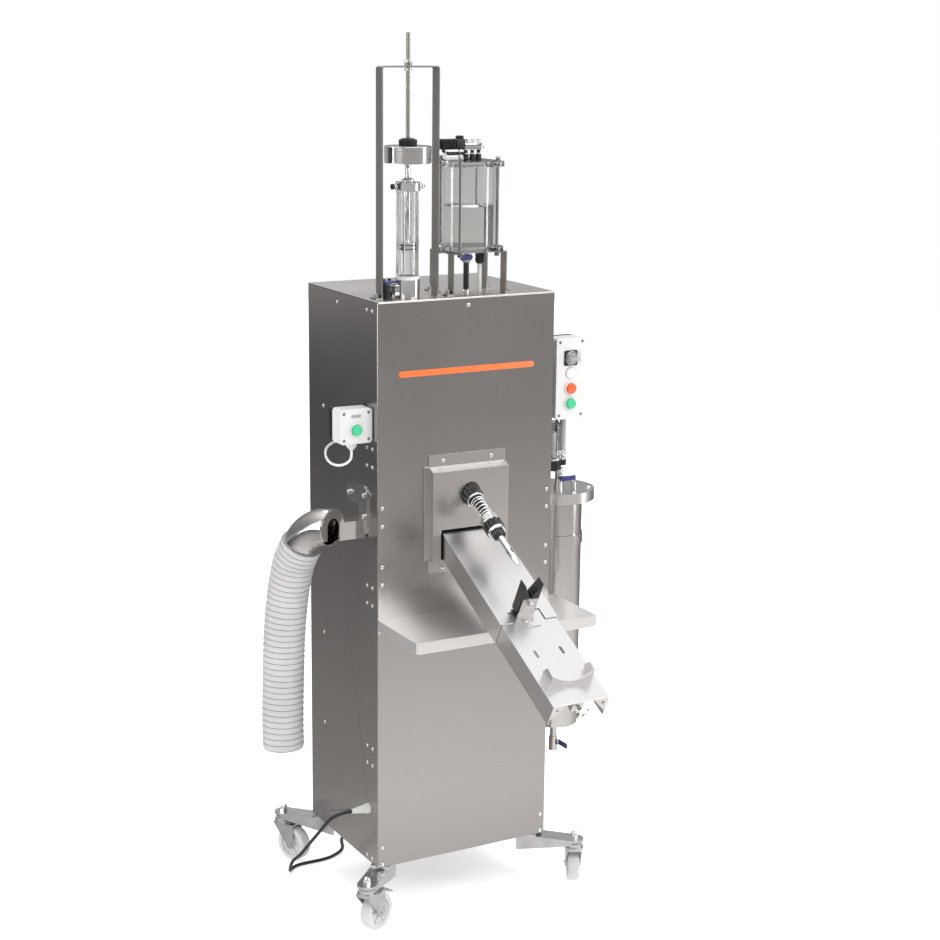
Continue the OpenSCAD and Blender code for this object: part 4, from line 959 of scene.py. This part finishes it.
# ---------------------------------------------------------------------------
# Reservoir
# ---------------------------------------------------------------------------
RES_X, RES_Y = 231, 68
STAND_H = 82
PLATE_T = 10
TUBE_LEN = 154
TOP_FIT = STAND_H + 2 * PLATE_T + TUBE_LEN
FIT_Y, UNDER_Y = -8, -14


def reservoir(z=0, x=0, y=0, turn=(0, 0, 0)):
    """Place over the top panel, from the middle of the reservoir."""
    return placed(RES_X + x, RES_Y + y, CAB_H + z, turn)


def make_reservoir():
    liquid = Piece("dosing_liquid", "machine")
    liquid.add(turned([(0, 0), (48.7, 0), (48.7, 77), (47.6, 77.6), (0, 77.2)], 72),
               reservoir(STAND_H + PLATE_T + 0.4), LIQUID)
    liquid.done()

    group = Piece("valve_group", "machine", "reservoir_fittings")
    for x in (-12, 2, 16):
        group.add(hexagon(11.4, 7, 0.7), reservoir(TOP_FIT, x, FIT_Y), BLACK)
        group.add(rod(5.6, 5, 0.6, 28), reservoir(TOP_FIT + 7, x, FIT_Y), BLACK)
        group.add(rod(4.6, 2.5, 0.3, 28), reservoir(TOP_FIT + 12, x, FIT_Y), BRIGHT)
        group.add(rod(3.6, 6.5, 0.2, 28), reservoir(TOP_FIT + 14, x, FIT_Y), BLACK)
    group.add(block(40, 14, 14, 2.0), reservoir(TOP_FIT + 20, 2, FIT_Y), BRIGHT)
    for x in (-8, 4, 15):
        group.add(turned([(0, 0), (5.4, 0), (5.4, 3), (4.2, 4), (4.2, 7), (2.8, 8.4), (0, 8.6)], 28),
                  reservoir(TOP_FIT + 33.6, x, FIT_Y), BRIGHT)
    group.add(rod(5.2, 5, 0.8, 28), reservoir(TOP_FIT + 27, 22, FIT_Y, TO_RIGHT), BRIGHT)
    group.add(rod(3, 34, 0.3, 20), reservoir(TOP_FIT, -26, FIT_Y), BRIGHT)
    group.add(fluted(8, 14, 12, 0.9, 1.2), reservoir(TOP_FIT + 34, -26, FIT_Y), BLACK)
    # ribbed block of the control valve, with its coil
    group.add(block(20, 20, 20, 1.5), reservoir(TOP_FIT + 22, -28, FIT_Y), BLACK)
    group.add(block(28, 15, 15, 1.5), reservoir(TOP_FIT + 24.5, -52, FIT_Y), BLACK)
    for k in range(7):
        group.add(block(2.0, 20, 20, 0.5), reservoir(TOP_FIT + 22, -65 + 4 * k, FIT_Y), BLACK)
    for z, start, end, tube in ((14, -60, -16, BLACK), (4, -58, -18, WHITE_CABLE)):
        line = smooth([(x, FIT_Y, high) for x, high in (
            (start, 24), (start - 1, 20), (start + 3, z + 2), (start + 10, z), (end - 10, z), (end, z))])
        group.add(swept(line, 3.4, 14), reservoir(TOP_FIT), tube)
    # under the bottom plate: tapered connector with its white hose, and the outlet valve
    group.add(turned([
        (0, 0), (6, 0), (7.2, 2), (9, 5), (9, 11), (8.2, 11.6), (8.2, 12.8), (9, 13.4), (9, 19),
        (6, 20.5), (6, 26), (0, 26),
    ], 36), reservoir(STAND_H - 26, 18, UNDER_Y), BLACK)
    group.add(rod(4.4, STAND_H - 25, 0.3, 24), reservoir(0, 18, UNDER_Y), WHITE_CABLE)
    group.add(hexagon(17, 8, 0.8), reservoir(STAND_H - 22, -12, UNDER_Y), GREY)
    group.add(rod(8.8, 14, 1.0, 36), reservoir(STAND_H - 14, -12, UNDER_Y), BRIGHT)
    group.add(rod(5.6, STAND_H - 21, 0.4, 24), reservoir(0, -12, UNDER_Y), BLACK)
    group.add(rod(7.4, 7, 0.8, 28), reservoir(0, -12, UNDER_Y), BRIGHT)
    group.done()


make_reservoir()


# ---------------------------------------------------------------------------
# Control boxes
# ---------------------------------------------------------------------------
LEFT_BOX = (-36, 20, 911)
RIGHT_BOX = (CAB_W + 51, 15, 968)
BOX_W, BOX_H, BOX_SCREW = 68, 166, 8
START_Z = -7
MODE_Z, STOP_Z, RUN_Z, BLANK_Z = 42, -20, -51, 11


def on_box(box, x, z, out=0.0):
    """A form whose own +Z points out of the box's cover."""
    return placed(box[0] + x, box[1] - out, box[2] + z, TO_FRONT)


def make_button(name, box, z, material):
    piece = Piece(name + "_cap", name, name)
    piece.add(turned([
        (0, 0), (10.6, 0), (10.6, 9), (10.2, 10), (9.4, 10.6), (8.6, 10.8), (8.2, 10.5), (0, 10.9),
    ], 48), on_box(box, 0, z, -3), material)
    piece.done()


def make_boxes():
    trim = Piece("box_trim", "machine")
    for box, z in ((LEFT_BOX, START_Z), (RIGHT_BOX, STOP_Z), (RIGHT_BOX, RUN_Z)):
        trim.add(lathe_ring([(11.2, 0), (14.4, 0), (14.2, 2), (12.6, 3), (11.2, 3)], 48),
                 on_box(box, 0, z), WHITE)
    trim.add(rod(11.5, 1.8, 0.8, 48), on_box(RIGHT_BOX, 0, BLANK_Z), WHITE)
    trim.add(lathe_ring([(11.6, 0), (12.4, 0), (12.4, 0.5), (11.6, 0.5)], 48),
             on_box(RIGHT_BOX, 0, BLANK_Z), GREY)
    trim.add(plate(rounded_outline(31, 31, 3), 2.0, 0.5), on_box(RIGHT_BOX, -1, MODE_Z), BLACK)
    trim.add(plate(rounded_outline(9, 26, 1.5), 1.0, 0.3), on_box(RIGHT_BOX, 24, MODE_Z), WHITE)
    for z in (-6, 0, 6):
        mark = plate(rounded_outline(5, 1, 0.4), 0.3, 0.1)
        trim.add(mark, on_box(RIGHT_BOX, 24, MODE_Z + z, 0.9), GREY)
    for box, h in ((LEFT_BOX, BOX_W), (RIGHT_BOX, BOX_H)):
        for x in (-1, 1):
            for z in (-1, 1):
                here = on_box(box, x * (BOX_W / 2 - BOX_SCREW), z * (h / 2 - BOX_SCREW))
                trim.add(turned([(0, 0), (3.2, 0), (3.2, 0.5), (2.6, 1), (0, 1)], 24), here, ZINC)
                trim.add(block(0.8, 4.2, 0.3, 0.1), here @ Matrix.Translation((0, 0, 0.9)), BLACK)
    # plain label above the left button
    trim.add(plate(rounded_outline(20, 6, 1), 0.5, 0.15), on_box(LEFT_BOX, 0, 20), GREY)
    trim.done()

    make_button("start_button", LEFT_BOX, START_Z, GREEN)
    make_button("stop_button", RIGHT_BOX, STOP_Z, RED)
    make_button("run_button", RIGHT_BOX, RUN_Z, GREEN)

    switch = Piece("mode_knob", "mode_switch", "mode_switch")
    here = on_box(RIGHT_BOX, 0, MODE_Z, 2.2)
    switch.add(lathe_ring([(10, 0), (14.2, 0), (14.2, 1.6), (12.8, 2.8), (10, 2.8)], 48), here, ZINC)
    switch.add(rod(10.4, 6, 1.0, 48), here, GREY)
    switch.add(block(25, 7, 12, 2.4, 3), here @ Matrix.Translation((0, 0, 4)), GREY)
    switch.add(block(8, 1.2, 0.6, 0.2), here @ Matrix.Translation((7, 0, 15.8)), WHITE)
    switch.done()

    glands = Piece("gland_reliefs", "machine", "cable_glands")
    mains_gland = placed(0, 38, 117, TO_LEFT)
    box_gland = placed(-36, 42, 877, TO_GROUND)
    for here, length, ribs in ((mains_gland, 40, 8), (box_gland, 16, 3)):
        glands.add(hexagon(20, 8, 0.9), here, WHITE)
        step = (length - 9) / (ribs + 1)
        profile = [(0, 7), (10, 7), (10, 9)]
        for k in range(ribs):
            r = 9.4 - 4.6 * k / ribs
            z = 9 + step * k
            profile += [(r, z), (r - 0.3, z + 0.62 * step)]
            profile += [(r - 1.6, z + 0.7 * step), (r - 1.6, z + 0.95 * step)]
        profile += [(4.8, length - step), (4.4, length), (0, length)]
        glands.add(turned(profile, 36), here, WHITE)
    glands.done()


make_boxes()


# ---------------------------------------------------------------------------
# Air filter and lines on the right side
# ---------------------------------------------------------------------------
FILTER = (CAB_W + 26, 40, 775)


def make_service():
    x, y, z = FILTER
    bowl = Piece("filter_bowl", "machine")
    bowl.add(lathe_ring([
        (14.6, 0), (16.8, 0), (16.8, 66), (14.5, 73), (9, 77), (0.5, 78), (0.5, 76), (8.4, 75),
        (13, 71.6), (14.6, 65),
    ], 48), placed(x, y, z + 26), ACRYLIC)
    bowl.done()
    lines = Piece("air_lines", "machine", "service_lines")
    lines.add(rod(8, 52, 1.0, 32), placed(x, y, z + 28), WHITE)
    for k in range(8):
        lines.add(rod(8.7, 2.4, 0.6, 32), placed(x, y, z + 32 + 6 * k), WHITE)
    lines.add(fluted(19, 20, 16, 1.2, 1.5), placed(x, y, z + 3), BLACK)
    lines.add(rod(17.4, 4, 0.6, 40), placed(x, y, z + 22.4), BRIGHT)
    lines.add(rod(13, 4, 0.8, 32), placed(x, y, z), BLACK)
    lines.add(block(14, 16, 14, 1.2), placed(CAB_W + 6, y, z + 6), BLACK)
    tube_x, tube_y = RIGHT_BOX[0], RIGHT_BOX[1] + 26
    thin = swept([(0, 0, 40 + 10 * k) for k in range(8)], 3, 14)
    lines.add(thin, placed(tube_x - 14, tube_y, z), CABLE)
    lines.add(rod(7, 70, 0.6, 32), placed(tube_x, tube_y, z + 40), GREY)
    lines.add(hexagon(15, 10, 0.8), placed(tube_x, tube_y, z + 31), BRIGHT)
    lines.add(rod(8.4, 10, 1.0, 32), placed(tube_x, tube_y, z + 21), BRIGHT)
    lines.add(fluted(8.5, 12, 10, 0.8, 0.8), placed(tube_x, tube_y, z + 9), BLACK)
    lines.add(block(18, 14, 6, 1.0), placed(tube_x - 9, tube_y - 1, z + 34), BRIGHT)
    lines.add(block(tube_x - x, 10, 12, 1.4), placed((x + tube_x) / 2, tube_y - 1, z + 8), BRIGHT)
    lines.done()


make_service()


# ---------------------------------------------------------------------------
# Plain stripe in place of the photograph's lettering
# ---------------------------------------------------------------------------
STRIPE_W, STRIPE_H, STRIPE_Z = 300, 12, 1008


def make_stripe():
    stripe = Piece("front_stripe", "machine")
    form = plate(rounded_outline(STRIPE_W, STRIPE_H, 5.9), 0.3, 0.1)
    stripe.add(form, placed(CAB_W / 2, 0, STRIPE_Z, TO_FRONT), ORANGE)
    stripe.done()


make_stripe()
